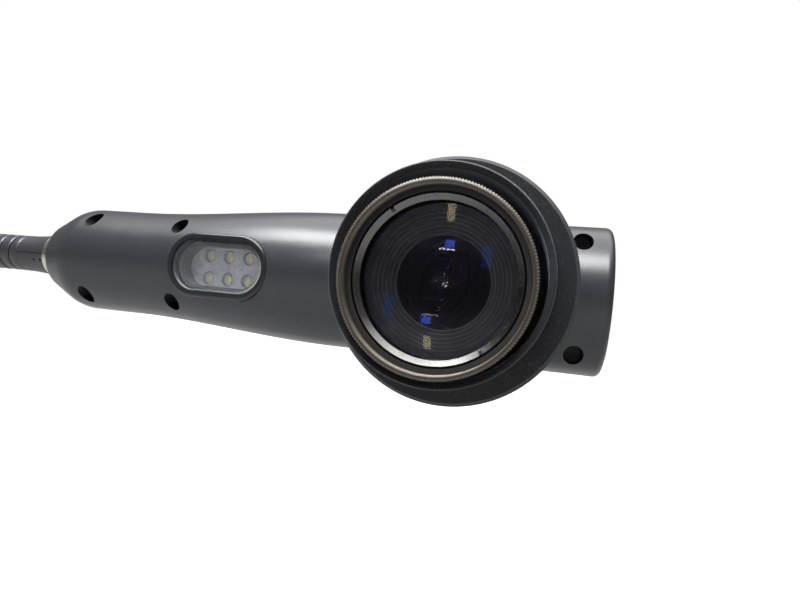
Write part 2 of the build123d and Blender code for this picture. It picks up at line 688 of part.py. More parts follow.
# ======== Camera block ========
with BuildPart() as camera_chassis:
    with BuildSketch(optic_plane.offset(BOX_FRONT)):
        Circle(BARREL_R)
    extrude(amount=BARREL_FRONT - BOX_FRONT)
    with BuildSketch(optic_plane.offset(BOX_BACK)):
        Rectangle(BOX_WIDTH, BOX_HEIGHT)
    extrude(amount=BOX_FRONT - BOX_BACK)
    fillet(camera_chassis.edges().filter_by(Axis.Y).group_by(SortBy.LENGTH)[0], BOX_WALL)
    with BuildSketch(optic_plane.offset(BOX_FRONT - BOX_WALL)):
        Circle(bore_r)
        Rectangle(BOX_WIDTH, BOX_HEIGHT - 2 * BOX_WALL, mode=Mode.INTERSECT)
    extrude(amount=BOX_WALL, mode=Mode.SUBTRACT)
    with BuildSketch(optic_plane.offset(BOX_FRONT)):
        Circle(bore_r)
    extrude(amount=BARREL_FRONT - BOX_FRONT, mode=Mode.SUBTRACT)
    with BuildSketch(optic_plane.offset(BOX_BACK + BOX_WALL)):
        Rectangle(BOX_WIDTH - 2 * BOX_WALL, BOX_HEIGHT - 2 * BOX_WALL)
    extrude(amount=BOX_FRONT - BOX_BACK - 2 * BOX_WALL, mode=Mode.SUBTRACT)
    with BuildSketch(optic_plane.offset(BOX_BACK)):
        Rectangle(FILTER_WINDOW + 2 * FIT, FILTER_WINDOW + 2 * FIT)
    extrude(amount=BOX_WALL, mode=Mode.SUBTRACT)
    with BuildSketch(optic_plane.offset(BOX_BACK)):
        with GridLocations(2 * BOARD_SCREW_X, 2 * BOARD_SCREW_Z, 2, 2):
            Circle(SMALL_HEAD_R)
    extrude(amount=SMALL_SCREW_LENGTH)
    with BuildSketch(optic_plane.offset(BOX_BACK)):
        with GridLocations(2 * BOARD_SCREW_X, 2 * BOARD_SCREW_Z, 2, 2):
            Circle(SMALL_SCREW_R)
    extrude(amount=SMALL_SCREW_LENGTH - BOARD_T, mode=Mode.SUBTRACT)
write(camera_chassis.part, "camera_chassis")

# Foam ring that centres the barrel in the housing's neck; its two sides are not coaxial.
with BuildPart() as barrel_gasket:
    with BuildSketch(front_plane.offset(GASKET_FRONT - GASKET_T)):
        with Locations((lens_x, 0)):
            Circle(NECK_R - WALL)
        with Locations((optic_x, optic_z)):
            Circle(BARREL_R, mode=Mode.SUBTRACT)
    extrude(amount=GASKET_T)
write(barrel_gasket.part, "barrel_gasket")


def lens_element(radius, rim, back, edge, domes):
    """A round glass element: a flat rim and an edge band, with a dome on each side."""
    front_dome, back_dome = domes
    dome_r = radius - rim
    front = back + edge
    front_sphere_r = (dome_r ** 2 + front_dome ** 2) / (2 * front_dome)
    back_sphere_r = (dome_r ** 2 + back_dome ** 2) / (2 * back_dome)
    with BuildPart() as element:
        with BuildSketch(optic_section):
            with BuildLine():
                Line((0, back_dome - back), (0, -front - front_dome))
                RadiusArc((0, -front - front_dome), (dome_r, -front), -front_sphere_r)
                Polyline((dome_r, -front), (radius, -front), (radius, -back), (dome_r, -back))
                RadiusArc((dome_r, -back), (0, back_dome - back), -back_sphere_r)
            make_face()
        revolve(axis=optic_axis)
    return element.part


with BuildPart() as front_lens:
    add(lens_element(bore_r, LENS_RIM, FRONT_LENS_BACK, LENS_EDGE, FRONT_LENS_DOMES))
write(front_lens.part, "front_lens")

with BuildPart() as second_lens:
    add(lens_element(SECOND_LENS_R, LENS_RIM, SECOND_LENS_BACK, LENS_EDGE, SECOND_LENS_DOMES))
write(second_lens.part, "second_lens")


# Blackened cell of the second element; its baffle also holds the guide rods' front ends.
with BuildPart() as second_cell:
    with BuildSketch(optic_plane.offset(BAFFLE_BACK)):
        Circle(bore_r)
    extrude(amount=SECOND_LENS_BACK + CELL_DEPTH - BAFFLE_BACK)
    with BuildSketch(optic_plane.offset(SECOND_LENS_BACK)):
        Circle(SECOND_LENS_R)
    extrude(amount=CELL_DEPTH, mode=Mode.SUBTRACT)
    with BuildSketch(optic_plane.offset(BAFFLE_BACK + BAFFLE_T)):
        Circle(SECOND_LENS_R - LENS_RIM)
    extrude(amount=SECOND_LENS_BACK - BAFFLE_BACK - BAFFLE_T, mode=Mode.SUBTRACT)
    with BuildSketch(optic_plane.offset(BAFFLE_BACK)):
        Circle(BAFFLE_R)
    extrude(amount=BAFFLE_T, mode=Mode.SUBTRACT)
    with BuildSketch(optic_plane.offset(BAFFLE_BACK)):
        with Locations((ROD_X, 0), (-ROD_X, 0)):
            Circle(ROD_R)
    extrude(amount=BAFFLE_T, mode=Mode.SUBTRACT)
write(second_cell.part, "second_cell")

# Guide rods, from the baffle to the box's rear wall.
with BuildPart() as guide_rods:
    with BuildSketch(optic_plane.offset(BOX_BACK + BOX_WALL)):
        with Locations((ROD_X, 0), (-ROD_X, 0)):
            Circle(ROD_R)
    extrude(amount=BAFFLE_BACK + BAFFLE_T - BOX_BACK - BOX_WALL)
write(guide_rods.part, "guide_rods")


def carriage(back, thickness, seat_r, screw_side):
    """A lens carriage: a ring with an ear on each rod and a nut arm on its lead screw."""
    root_out, root_in = NUT_ARM_ROOT
    with BuildPart() as body:
        with BuildSketch(optic_plane.offset(back)):
            Circle(CARRIAGE_R)
            with Locations((ROD_X, 0), (-ROD_X, 0)):
                Circle(CARRIAGE_EAR_R)
            Rectangle(2 * ROD_X, 2 * CARRIAGE_EAR_R)
            with Locations((screw_side * LEAD_SCREW_X, LEAD_SCREW_Z)):
                Circle(CARRIAGE_EAR_R)
            with BuildLine():
                Polyline((screw_side * (LEAD_SCREW_X - NUT_ARM_HALF), LEAD_SCREW_Z),
                         (screw_side * (LEAD_SCREW_X + NUT_ARM_HALF), LEAD_SCREW_Z),
                         (screw_side * root_out, root_in), (screw_side * root_in, root_out), close=True)
            make_face()
            Circle(seat_r, mode=Mode.SUBTRACT)
            with Locations((ROD_X, 0), (-ROD_X, 0)):
                Circle(ROD_R + RUNNING, mode=Mode.SUBTRACT)
            with Locations((screw_side * LEAD_SCREW_X, LEAD_SCREW_Z)):
                Circle(LEAD_SCREW_R + RUNNING, mode=Mode.SUBTRACT)
        extrude(amount=thickness)
    return body.part


with BuildPart() as zoom_carriage:
    add(carriage(ZOOM_BACK, ZOOM_T, ZOOM_LENS_R, 1))
write(zoom_carriage.part, "zoom_carriage")

with BuildPart() as zoom_lens:
    add(lens_element(ZOOM_LENS_R, LENS_RIM, ZOOM_BACK + LENS_SINK, LENS_EDGE, CARRIED_DOMES))
write(zoom_lens.part, "zoom_lens")

with BuildPart() as focus_carriage:
    add(carriage(FOCUS_BACK, FOCUS_T, FOCUS_LENS_R, -1))
write(focus_carriage.part, "focus_carriage")

with BuildPart() as focus_lens:
    add(lens_element(FOCUS_LENS_R, LENS_RIM, FOCUS_BACK + LENS_SINK, LENS_EDGE, CARRIED_DOMES))
write(focus_lens.part, "focus_lens")


def lead_screw(side, motor_front, tip):
    """A lead screw that stands on its motor."""
    with BuildPart() as screw:
        with BuildSketch(optic_plane.offset(motor_front + MOTOR_CLEARANCE)):
            with Locations((side * LEAD_SCREW_X, LEAD_SCREW_Z)):
                Circle(LEAD_SCREW_R)
        extrude(amount=tip - motor_front - MOTOR_CLEARANCE)
    return screw.part


def motor(side, front, length):
    """A small can motor."""
    with BuildPart() as can:
        with BuildSketch(optic_plane.offset(front - length)):
            with Locations((side * LEAD_SCREW_X, LEAD_SCREW_Z)):
                Circle(MOTOR_R)
        extrude(amount=length)
        fillet(can.edges().filter_by(GeomType.CIRCLE).sort_by(Axis.Y)[0], MOTOR_EDGE_R)
    return can.part


with BuildPart() as zoom_screw:
    add(lead_screw(1, ZOOM_MOTOR_FRONT, ZOOM_BACK + ZOOM_T + SCREW_TIP))
write(zoom_screw.part, "zoom_screw")

with BuildPart() as zoom_motor:
    add(motor(1, ZOOM_MOTOR_FRONT, ZOOM_MOTOR_LENGTH))
write(zoom_motor.part, "zoom_motor")

with BuildPart() as focus_screw:
    add(lead_screw(-1, FOCUS_MOTOR_FRONT, FOCUS_BACK + FOCUS_T + SCREW_TIP))
write(focus_screw.part, "focus_screw")

with BuildPart() as focus_motor:
    add(motor(-1, FOCUS_MOTOR_FRONT, FOCUS_MOTOR_LENGTH))
write(focus_motor.part, "focus_motor")

# Iris: a fixed plate and two blades that close from the sides.
with BuildPart() as iris_plate:
    with BuildSketch(optic_plane.offset(IRIS_FRONT - IRIS_T)):
        Circle(bore_r)
        Circle(IRIS_APERTURE_R, mode=Mode.SUBTRACT)
        with Locations((ROD_X, 0), (-ROD_X, 0)):
            Circle(ROD_R + FIT, mode=Mode.SUBTRACT)
        with Locations((LEAD_SCREW_X, LEAD_SCREW_Z)):
            Circle(LEAD_SCREW_R + SCREW_PASS, mode=Mode.SUBTRACT)
    extrude(amount=IRIS_T)
write(iris_plate.part, "iris_plate")


def iris_blade(side, back):
    """A thin blade with a half-round notch over the aperture."""
    with BuildPart() as blade:
        with BuildSketch(optic_plane.offset(back)):
            with Locations((side * BLADE_WIDTH / 2, -BLADE_DROP)):
                Rectangle(BLADE_WIDTH, BLADE_HEIGHT)
            Circle(IRIS_APERTURE_R, mode=Mode.SUBTRACT)
        extrude(amount=BLADE_T)
    return blade.part


with BuildPart() as iris_blade_right:
    add(iris_blade(1, IRIS_FRONT + BLADE_GAP))
write(iris_blade_right.part, "iris_blade_right")

with BuildPart() as iris_blade_left:
    add(iris_blade(-1, IRIS_FRONT + 2 * BLADE_GAP + BLADE_T))
write(iris_blade_left.part, "iris_blade_left")

# Filter and sensor in the box's rear window, board and its screws behind them.
with BuildPart() as infrared_filter:
    with BuildSketch(optic_plane.offset(BOX_BACK + BOX_WALL - FILTER_WINDOW_T)):
        Rectangle(FILTER_WINDOW, FILTER_WINDOW)
    extrude(amount=FILTER_WINDOW_T)
write(infrared_filter.part, "infrared_filter")

with BuildPart() as image_sensor:
    with BuildSketch(optic_plane.offset(BOX_BACK)):
        Rectangle(SENSOR_WIDTH, SENSOR_HEIGHT)
    extrude(amount=BOX_WALL - FILTER_WINDOW_T)
write(image_sensor.part, "image_sensor")

with BuildPart() as sensor_board:
    with BuildSketch(optic_plane.offset(BOX_BACK - BOARD_T)):
        Rectangle(SENSOR_BOARD_WIDTH, SENSOR_BOARD_HEIGHT)
        with GridLocations(2 * BOARD_SCREW_X, 2 * BOARD_SCREW_Z, 2, 2):
            Circle(SMALL_SCREW_R + FIT, mode=Mode.SUBTRACT)
    extrude(amount=BOARD_T)
write(sensor_board.part, "sensor_board")

with BuildPart() as sensor_screws:
    with BuildSketch(optic_plane.offset(BOX_BACK - BOARD_T - SMALL_HEAD_T)):
        with GridLocations(2 * BOARD_SCREW_X, 2 * BOARD_SCREW_Z, 2, 2):
            Circle(SMALL_HEAD_R)
    extrude(amount=SMALL_HEAD_T)
    with BuildSketch(optic_plane.offset(BOX_BACK - BOARD_T)):
        with GridLocations(2 * BOARD_SCREW_X, 2 * BOARD_SCREW_Z, 2, 2):
            Circle(SMALL_SCREW_R)
    extrude(amount=SMALL_SCREW_LENGTH)
write(sensor_screws.part, "sensor_screws")

# Flat ribbon: straight off the sensor board, then over to the back of the main board's end.
ribbon_start_x = optic_x - SENSOR_BOARD_WIDTH / 2 + RIBBON_LAP
ribbon_edge_x = optic_x - SENSOR_BOARD_WIDTH / 2 - RIBBON_LAP / 4
ribbon_end_x = lens_x - MAIN_BOARD_BACK - RIBBON_LAP / 2
ribbon_middle_x = (ribbon_edge_x + ribbon_end_x) / 2


def ribbon_side(lift, shift):
    """One face of the ribbon, from the sensor board to the main board."""
    start_y = sensor_board_back_y + lift
    end_y = main_board_back_y + lift
    middle_x = ribbon_middle_x + shift
    Line((ribbon_start_x, start_y), (ribbon_edge_x, start_y))
    Bezier((ribbon_edge_x, start_y), (middle_x, start_y), (middle_x, end_y), (ribbon_end_x, end_y))


with BuildPart() as ribbon_cable:
    with BuildSketch(Plane.XY.offset(optic_z - RIBBON_HEIGHT / 2)):
        with BuildLine():
            ribbon_side(0, 0)
            ribbon_side(RIBBON_T, -RIBBON_T)
            for x, y in ((ribbon_start_x, sensor_board_back_y), (ribbon_end_x, main_board_back_y)):
                Line((x, y), (x, y + RIBBON_T))
        make_face()
    extrude(amount=RIBBON_HEIGHT)
write(ribbon_cable.part, "ribbon_cable")


# ======== Hood and close-up lens ========
hood_plane = Plane(origin=(lens_x, 0, 0), x_dir=(1, 0, 0), z_dir=(0, -1, 0))

with BuildPart() as lens_hood:
    with BuildSketch(hood_plane.offset(COLLAR_BACK)):
        Circle(HOOD_R)
    extrude(amount=HOOD_FRONT - COLLAR_BACK)
    fillet(lens_hood.faces().sort_by(Axis.Y)[0].edges(), HOOD_RIM_R)
    with BuildSketch(hood_plane.offset(FLANGE_BACK)):
        Circle(FLANGE_R)
    extrude(amount=FLANGE_FRONT - FLANGE_BACK)
    chamfer(lens_hood.edges().group_by(SortBy.LENGTH)[-1], FLANGE_BEVEL)
    with BuildSketch(hood_plane.offset(COLLAR_BACK)):
        Circle(NECK_R)
    extrude(amount=NECK_LENGTH - COLLAR_BACK, mode=Mode.SUBTRACT)
    with BuildSketch(hood_plane.offset(NECK_LENGTH)):
        Circle(HOOD_BORE_R)
    extrude(amount=HOOD_FRONT - NECK_LENGTH, mode=Mode.SUBTRACT)
    mouth = lens_hood.faces().sort_by(Axis.Y)[0].edges().sort_by(SortBy.LENGTH)
    chamfer(mouth[0], HOOD_RIM_BEVEL)
write(lens_hood.part, "lens_hood")

glass_front = RING_FRONT - FILTER_DEPTH - RETAINER_T
with BuildPart() as close_up_ring:
    with BuildSketch(optic_plane.offset(RING_BACK)):
        Circle(RING_R)
    extrude(amount=RING_FRONT - RING_BACK)
    chamfer(close_up_ring.faces().sort_by(Axis.Y)[0].edges(), RING_BEVEL)
    with BuildSketch(optic_plane.offset(RING_BACK)):
        Circle(BARREL_R + THREAD_CLEARANCE)
    extrude(amount=BARREL_FRONT + FIT - RING_BACK, mode=Mode.SUBTRACT)
    with BuildSketch(optic_plane.offset(BARREL_FRONT)):
        Circle(clear_r)
    extrude(amount=GLASS_BACK - BARREL_FRONT, mode=Mode.SUBTRACT)
    with BuildSketch(optic_plane.offset(GLASS_BACK)):
        Circle(glass_seat_r)
    extrude(amount=RING_FRONT - FILTER_DEPTH - GLASS_BACK, mode=Mode.SUBTRACT)
    with BuildSketch(optic_plane.offset(RING_FRONT - FILTER_DEPTH)):
        Circle(FILTER_R)
    extrude(amount=FILTER_DEPTH, mode=Mode.SUBTRACT)
write(close_up_ring.part, "close_up_ring")

with BuildPart() as close_up_glass:
    add(lens_element(GLASS_R, GLASS_LEDGE + FIT, GLASS_BACK, glass_front - GLASS_BACK,
                     CLOSE_UP_DOMES))
write(close_up_glass.part, "close_up_glass")

with BuildPart() as retaining_ring:
    with BuildSketch(optic_plane.offset(glass_front)):
        Circle(glass_seat_r)
        Circle(clear_r, mode=Mode.SUBTRACT)
    extrude(amount=RETAINER_T)
    inner_edges = retaining_ring.faces().sort_by(Axis.Y)[0].edges().sort_by(SortBy.LENGTH)
    chamfer(inner_edges[0], RETAINER_BEVEL)
    with BuildSketch(optic_plane.offset(glass_front + RETAINER_T)):
        Rectangle(2 * RING_R, RETAINER_SLOT, rotation=RETAINER_SLOT_ANGLE)
    extrude(amount=-RETAINER_SLOT_DEPTH, mode=Mode.SUBTRACT)
write(retaining_ring.part, "retaining_ring")
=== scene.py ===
# %% [markdown]
# # A camera head on a bendable arm
# The head is a moulded grey tube. A big hooded close-up lens and a small six-LED lamp look out of
# its side, and a ribbed arm carries it. The measured design comes in as finished CAD meshes, one for
# each part. This lesson puts the looks on them: it remodels what CAD leaves plain, such as the arm's
# ribs, the knurled ring and the LEDs, and gives every part a finish made of shader nodes.

# %% Load the frame
import json
import math

import bpy
from mathutils import Matrix, Vector


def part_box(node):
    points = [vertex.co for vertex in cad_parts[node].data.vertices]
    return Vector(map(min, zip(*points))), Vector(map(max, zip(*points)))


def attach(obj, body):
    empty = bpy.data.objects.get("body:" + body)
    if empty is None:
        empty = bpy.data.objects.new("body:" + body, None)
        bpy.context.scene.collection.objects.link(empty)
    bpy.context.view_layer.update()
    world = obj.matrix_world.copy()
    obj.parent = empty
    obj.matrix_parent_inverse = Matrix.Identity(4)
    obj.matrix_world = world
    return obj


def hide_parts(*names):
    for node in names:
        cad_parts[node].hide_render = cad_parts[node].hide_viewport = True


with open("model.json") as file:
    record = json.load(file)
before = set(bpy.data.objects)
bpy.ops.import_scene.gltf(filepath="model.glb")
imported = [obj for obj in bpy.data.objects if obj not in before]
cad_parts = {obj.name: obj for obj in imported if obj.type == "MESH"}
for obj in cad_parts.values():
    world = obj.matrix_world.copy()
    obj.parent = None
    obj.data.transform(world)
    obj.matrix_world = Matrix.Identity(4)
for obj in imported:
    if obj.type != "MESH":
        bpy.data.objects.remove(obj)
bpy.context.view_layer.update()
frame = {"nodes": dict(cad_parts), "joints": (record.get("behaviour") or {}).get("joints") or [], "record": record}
nodes = frame["nodes"]
MM = 0.001


# %% [markdown]
# ## Where things are
# Nothing is placed by eye. The hood's box gives the axis of the neck, the front ring's box gives the
# axis of the lens, and the joints give the middle of each bend in the arm.

# %% Read places off the frame
def middle(node):
    """Centre of a CAD part's box."""
    low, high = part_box(node)
    return (low + high) / 2


hood_axis = middle("lens_hood")
lens_axis = middle("close_up_ring")
lamp_centre = middle("lamp_cover")
arm_joints = [j for j in frame["joints"] if j["name"].startswith(("arm_bend", "arm_swing"))]
joint_pitch = arm_joints[1]["pos_m"][0] - arm_joints[0]["pos_m"][0]
arm_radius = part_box("arm_segment_01")[1].z
print("lens axis x", round(lens_axis.x, 4), "joint pitch", round(joint_pitch, 4))


# %% [markdown]
# ## Camera
# The head is seen from close by, a little from its closed end and from slightly below the lens, with
# a wide lens. That is why the hood looks larger than the tube behind it.

# %% Place the camera
CAMERA_OFFSET = Vector((24.1, -196.3, -9.6)) * MM   # from where the neck's axis meets the tube's
CAMERA_YAW = 14.28
CAMERA_PITCH = 1.20
CAMERA_ROLL = -5.66
CAMERA_LENS = 24.75

turn = (Matrix.Rotation(math.radians(CAMERA_YAW), 3, "Z")
        @ Matrix.Rotation(math.radians(CAMERA_PITCH), 3, "X")
        @ Matrix.Rotation(math.radians(CAMERA_ROLL), 3, "Y"))
look = Matrix((turn.col[0], turn.col[2], -turn.col[1])).transposed().to_4x4()
camera = bpy.data.objects.new("camera", bpy.data.cameras.new("camera"))
bpy.context.scene.collection.objects.link(camera)
camera.matrix_world = Matrix.Translation(Vector((hood_axis.x, 0, 0)) + CAMERA_OFFSET) @ look
camera.data.lens = CAMERA_LENS
camera.data.sensor_width = 36
camera.data.clip_start = 0.005
bpy.context.scene.camera = camera


# %% [markdown]
# ## Light
# A product table: a white sweep below, a large soft panel above that puts the long highlight on the
# upper third of the tube, and a dimmer room in front, which leaves the middle of the tube dark.

# %% Light the scene
FLOOR_DROP = 0.16
PANEL_HEIGHT = 0.62


def aim(obj, target):
    """Turn a light so that it looks at a point."""
    obj.rotation_euler = (Vector(target) - obj.location).to_track_quat("-Z", "Y").to_euler()


def soft_panel(name, place, target, size, watts, colour=(1, 1, 1)):
    """A rectangular area light."""
    light = bpy.data.lights.new(name, "AREA")
    light.shape = "RECTANGLE"
    light.size, light.size_y = size
    light.energy = watts
    light.color = colour
    obj = bpy.data.objects.new(name, light)
    obj.location = place
    bpy.context.scene.collection.objects.link(obj)
    aim(obj, target)
    return obj


head_middle = Vector((hood_axis.x - 0.05, 0, 0))
soft_panel("top_panel", head_middle + Vector((-0.10, -0.30, PANEL_HEIGHT)), head_middle,
           (0.75, 0.26), 12.5, (0.95, 0.97, 1.0))
soft_panel("window", head_middle + Vector((-0.25, -0.80, 0.55)), head_middle,
           (0.12, 0.16), 1.4, (0.85, 0.92, 1.0))

# %% Small bright things in the room that the big lens mirrors
SKY_BLUE = (0.085, 0.2, 1.0)
FAR_BLUE = (0.06, 0.2, 1.0)
LAMP_YELLOW = (1.0, 0.88, 0.35)
mirrored = (
    ("sky", (-0.053, -0.747, 0.138), (0.026, 0.019), 0.036, SKY_BLUE),
    ("sill", (-0.061, -0.746, 0.124), (0.042, 0.004), 0.030, (1, 1, 1)),
    ("far_sky", (0.043, -0.758, 0.112), (0.026, 0.055), 0.014, FAR_BLUE),
    ("warm_lamp", (-0.089, -0.746, -0.118), (0.020, 0.032), 0.028, LAMP_YELLOW),
)
for name, offset, size, watts, colour in mirrored:
    soft_panel(name, head_middle + Vector(offset), hood_axis, size, watts, colour)
print("lights:", 2 + len(mirrored))

# %% A pale room that is dim at the height of the head and bright overhead
world = bpy.data.worlds.new("pale_room")
bpy.context.scene.world = world
world.use_nodes = True
world_nodes = world.node_tree.nodes
world_links = world.node_tree.links
background = world_nodes["Background"]
place = world_nodes.new("ShaderNodeTexCoord")
split = world_nodes.new("ShaderNodeSeparateXYZ")
ramp = world_nodes.new("ShaderNodeValToRGB")
shift = world_nodes.new("ShaderNodeMath")
shift.operation = "MULTIPLY_ADD"
shift.inputs[1].default_value = 0.5
shift.inputs[2].default_value = 0.5
world_links.new(place.outputs["Generated"], split.inputs[0])
world_links.new(split.outputs["Z"], shift.inputs[0])
world_links.new(shift.outputs[0], ramp.inputs[0])
ramp.color_ramp.elements[0].position = 0.30
ramp.color_ramp.elements[0].color = (0.75, 0.75, 0.75, 1)
ramp.color_ramp.elements[1].position = 0.92
ramp.color_ramp.elements[1].color = (3.0, 3.0, 3.0, 1)
for spot, grey in ((0.47, 0.20), (0.56, 0.14), (0.84, 0.25)):
    ramp.color_ramp.elements.new(spot).color = (grey, grey, grey, 1)

# %% The camera itself sees plain white behind everything
light_path = world_nodes.new("ShaderNodeLightPath")
seen = world_nodes.new("ShaderNodeMix")
seen.data_type = "RGBA"
world_links.new(light_path.outputs["Is Camera Ray"], seen.inputs["Factor"])
world_links.new(ramp.outputs["Color"], seen.inputs["A"])
seen.inputs["B"].default_value = (1.0, 1.0, 1.0, 1)
world_links.new(seen.outputs["Result"], background.inputs["Color"])
bpy.context.scene.view_settings.view_transform = "Standard"


# %% [markdown]
# ## Floor
# One pale sheet far below the head. It is part of the stage and not of the object.

# %% Lay the floor
def deselect():
    """Clear the selection, because an operator acts on all that is selected."""
    bpy.ops.object.select_all(action="DESELECT")


deselect()
bpy.ops.mesh.primitive_circle_add(vertices=64, radius=3.0, fill_type="NGON",
                                  location=(0.2, 0, -FLOOR_DROP))
floor = bpy.context.object
floor.name = "floor"


# %% [markdown]
# ## Shared texture groups
# Four effects turn up again and again: a fine moulded grain, a slow blotchiness that keeps big
# surfaces from looking flat, fine dust, and wear that shows a second colour. Each is one node group
# with named inputs, so a finish only sets its numbers.

# %% Helpers for node groups
def new_group(name, inputs, outputs):
    """An empty shader group with named sockets. Returns the group, its nodes, and its two ends."""
    group = bpy.data.node_groups.new(name, "ShaderNodeTree")
    for label, kind, value in inputs:
        socket = group.interface.new_socket(label, in_out="INPUT", socket_type=kind)
        socket.default_value = value
    for label, kind in outputs:
        group.interface.new_socket(label, in_out="OUTPUT", socket_type=kind)
    return group, group.nodes.new("NodeGroupInput"), group.nodes.new("NodeGroupOutput")


def maths(tree, operation, first, second=0.0, third=0.0, clamp=False):
    """A Math node whose inputs are numbers or sockets. Returns its output."""
    node = tree.nodes.new("ShaderNodeMath")
    node.operation = operation
    node.use_clamp = clamp
    for index, value in enumerate((first, second, third)):
        if isinstance(value, bpy.types.NodeSocket):
            tree.links.new(value, node.inputs[index])
        else:
            node.inputs[index].default_value = value
    return node.outputs[0]


def noise(tree, vector, scale, detail=2.0, roughness=0.5):
    """A Noise Texture. Returns its value."""
    node = tree.nodes.new("ShaderNodeTexNoise")
    tree.links.new(vector, node.inputs["Vector"])
    if isinstance(scale, bpy.types.NodeSocket):
        tree.links.new(scale, node.inputs["Scale"])
    else:
        node.inputs["Scale"].default_value = scale
    node.inputs["Detail"].default_value = detail
    node.inputs["Roughness"].default_value = roughness
    return node.outputs["Fac"]


FLOAT = "NodeSocketFloat"
VECTOR = "NodeSocketVector"

# %% Moulded grain: two sizes of noise added into one height
grain_group, grain_in, grain_out = new_group(
    "moulded_grain", [("Vector", VECTOR, (0, 0, 0)), ("Scale", FLOAT, 3000.0), ("Coarse", FLOAT, 0.3)],
    [("Height", FLOAT)])
fine = noise(grain_group, grain_in.outputs["Vector"], grain_in.outputs["Scale"], 2.0)
coarse_scale = maths(grain_group, "MULTIPLY", grain_in.outputs["Scale"], 0.31)
coarse = noise(grain_group, grain_in.outputs["Vector"], coarse_scale, 1.0)
height = maths(grain_group, "MULTIPLY_ADD", coarse, grain_in.outputs["Coarse"], fine)
grain_group.links.new(height, grain_out.inputs["Height"])

# %% Blotches: slow noise around a middle value
blotch_group, blotch_in, blotch_out = new_group(
    "blotches",
    [("Vector", VECTOR, (0, 0, 0)), ("Scale", FLOAT, 40.0), ("Middle", FLOAT, 0.5),
     ("Spread", FLOAT, 0.1)],
    [("Value", FLOAT)])
slow = noise(blotch_group, blotch_in.outputs["Vector"], blotch_in.outputs["Scale"], 4.0, 0.6)
centred = maths(blotch_group, "MULTIPLY_ADD", slow, 2.0, -1.0)
spread, centre = blotch_in.outputs["Spread"], blotch_in.outputs["Middle"]
value = maths(blotch_group, "MULTIPLY_ADD", centred, spread, centre, True)
blotch_group.links.new(value, blotch_out.inputs["Value"])

# %% Dust: small specks, only where a slower noise lets them gather
dust_group, dust_in, dust_out = new_group(
    "dust",
    [("Vector", VECTOR, (0, 0, 0)), ("Scale", FLOAT, 900.0), ("Amount", FLOAT, 0.3),
     ("Patches", FLOAT, 60.0)],
    [("Mask", FLOAT)])
cells = dust_group.nodes.new("ShaderNodeTexVoronoi")
dust_group.links.new(dust_in.outputs["Vector"], cells.inputs["Vector"])
dust_group.links.new(dust_in.outputs["Scale"], cells.inputs["Scale"])
patches = noise(dust_group, dust_in.outputs["Vector"], dust_in.outputs["Patches"], 3.0, 0.7)
limit = maths(dust_group, "MULTIPLY", patches, dust_in.outputs["Amount"])
speck = maths(dust_group, "SUBTRACT", limit, cells.outputs["Distance"])
mask = maths(dust_group, "MULTIPLY", speck, 12.0, 0.0, True)
dust_group.links.new(mask, dust_out.inputs["Mask"])


# %% [markdown]
# ## Finishes
# A finish is a Principled BSDF whose plain numbers sit on its own sockets. Whatever varies over the
# surface comes from the groups. One small builder makes the common kind: a base colour broken up by
# blotches, a roughness that wanders, a grain for the bump and an optional sprinkle of dust.

# %% The common builder
def group_node(material, group, **values):
    """Place a shared group in a material, feed it object coordinates and set its numbers."""
    tree = material.node_tree
    node = tree.nodes.new("ShaderNodeGroup")
    node.node_tree = group
    for label, number in values.items():
        node.inputs[label.replace("_", " ")].default_value = number
    tree.links.new(object_place(material), node.inputs["Vector"])
    return node


def object_place(material):
    """The Object output of the material's one Texture Coordinate node."""
    tree = material.node_tree
    found = tree.nodes.get("place")
    if not found:
        found = tree.nodes.new("ShaderNodeTexCoord")
        found.name = "place"
    return found.outputs["Object"]


def mix_colour(tree, factor, first, second):
    """Mix two colours, each a tuple or a socket."""
    node = tree.nodes.new("ShaderNodeMix")
    node.data_type = "RGBA"
    tree.links.new(factor, node.inputs["Factor"])
    for label, colour in (("A", first), ("B", second)):
        if isinstance(colour, bpy.types.NodeSocket):
            tree.links.new(colour, node.inputs[label])
        else:
            node.inputs[label].default_value = (*colour, 1)
    return node.outputs["Result"]


COAT_ROUGHNESS = 0.1
DUST_PATCHES = 70.0
GLOSS_FINENESS = 2.7      # the gloss wanders over shorter distances than the colour


def finish(name, colour, roughness, second=None, spread=0.08, blotch=45.0, metallic=0.0, specular=0.5,
           grain=0.0, grain_scale=3000.0, dust=0.0, dust_scale=900.0, dust_colour=(0.42, 0.41, 0.38),
           coat=0.0):
    """An opaque finish with wandering colour and roughness, and grain and dust if asked."""
    material = bpy.data.materials.new(name)
    material.use_nodes = True
    tree = material.node_tree
    shader = tree.nodes["Principled BSDF"]
    shader.inputs["Metallic"].default_value = metallic
    shader.inputs["Specular IOR Level"].default_value = specular
    shader.inputs["Coat Weight"].default_value = coat
    shader.inputs["Coat Roughness"].default_value = COAT_ROUGHNESS
    tone = group_node(material, blotch_group, Scale=blotch, Middle=0.5, Spread=0.5)
    shade = mix_colour(tree, tone.outputs["Value"], colour, second or tuple(c * 0.8 for c in colour))
    gloss = group_node(material, blotch_group, Scale=blotch * GLOSS_FINENESS, Middle=roughness,
                       Spread=spread)
    rough = gloss.outputs["Value"]
    if dust:
        specks = group_node(material, dust_group, Scale=dust_scale, Amount=dust, Patches=DUST_PATCHES)
        shade = mix_colour(tree, specks.outputs["Mask"], shade, dust_colour)
    tree.links.new(shade, shader.inputs["Base Color"])
    tree.links.new(rough, shader.inputs["Roughness"])
    if grain:
        bumps = group_node(material, grain_group, Scale=grain_scale)
        bump = tree.nodes.new("ShaderNodeBump")
        bump.inputs["Strength"].default_value = 1.0
        bump.inputs["Distance"].default_value = grain * MM
        tree.links.new(bumps.outputs["Height"], bump.inputs["Height"])
        tree.links.new(bump.outputs["Normal"], shader.inputs["Normal"])
    return material


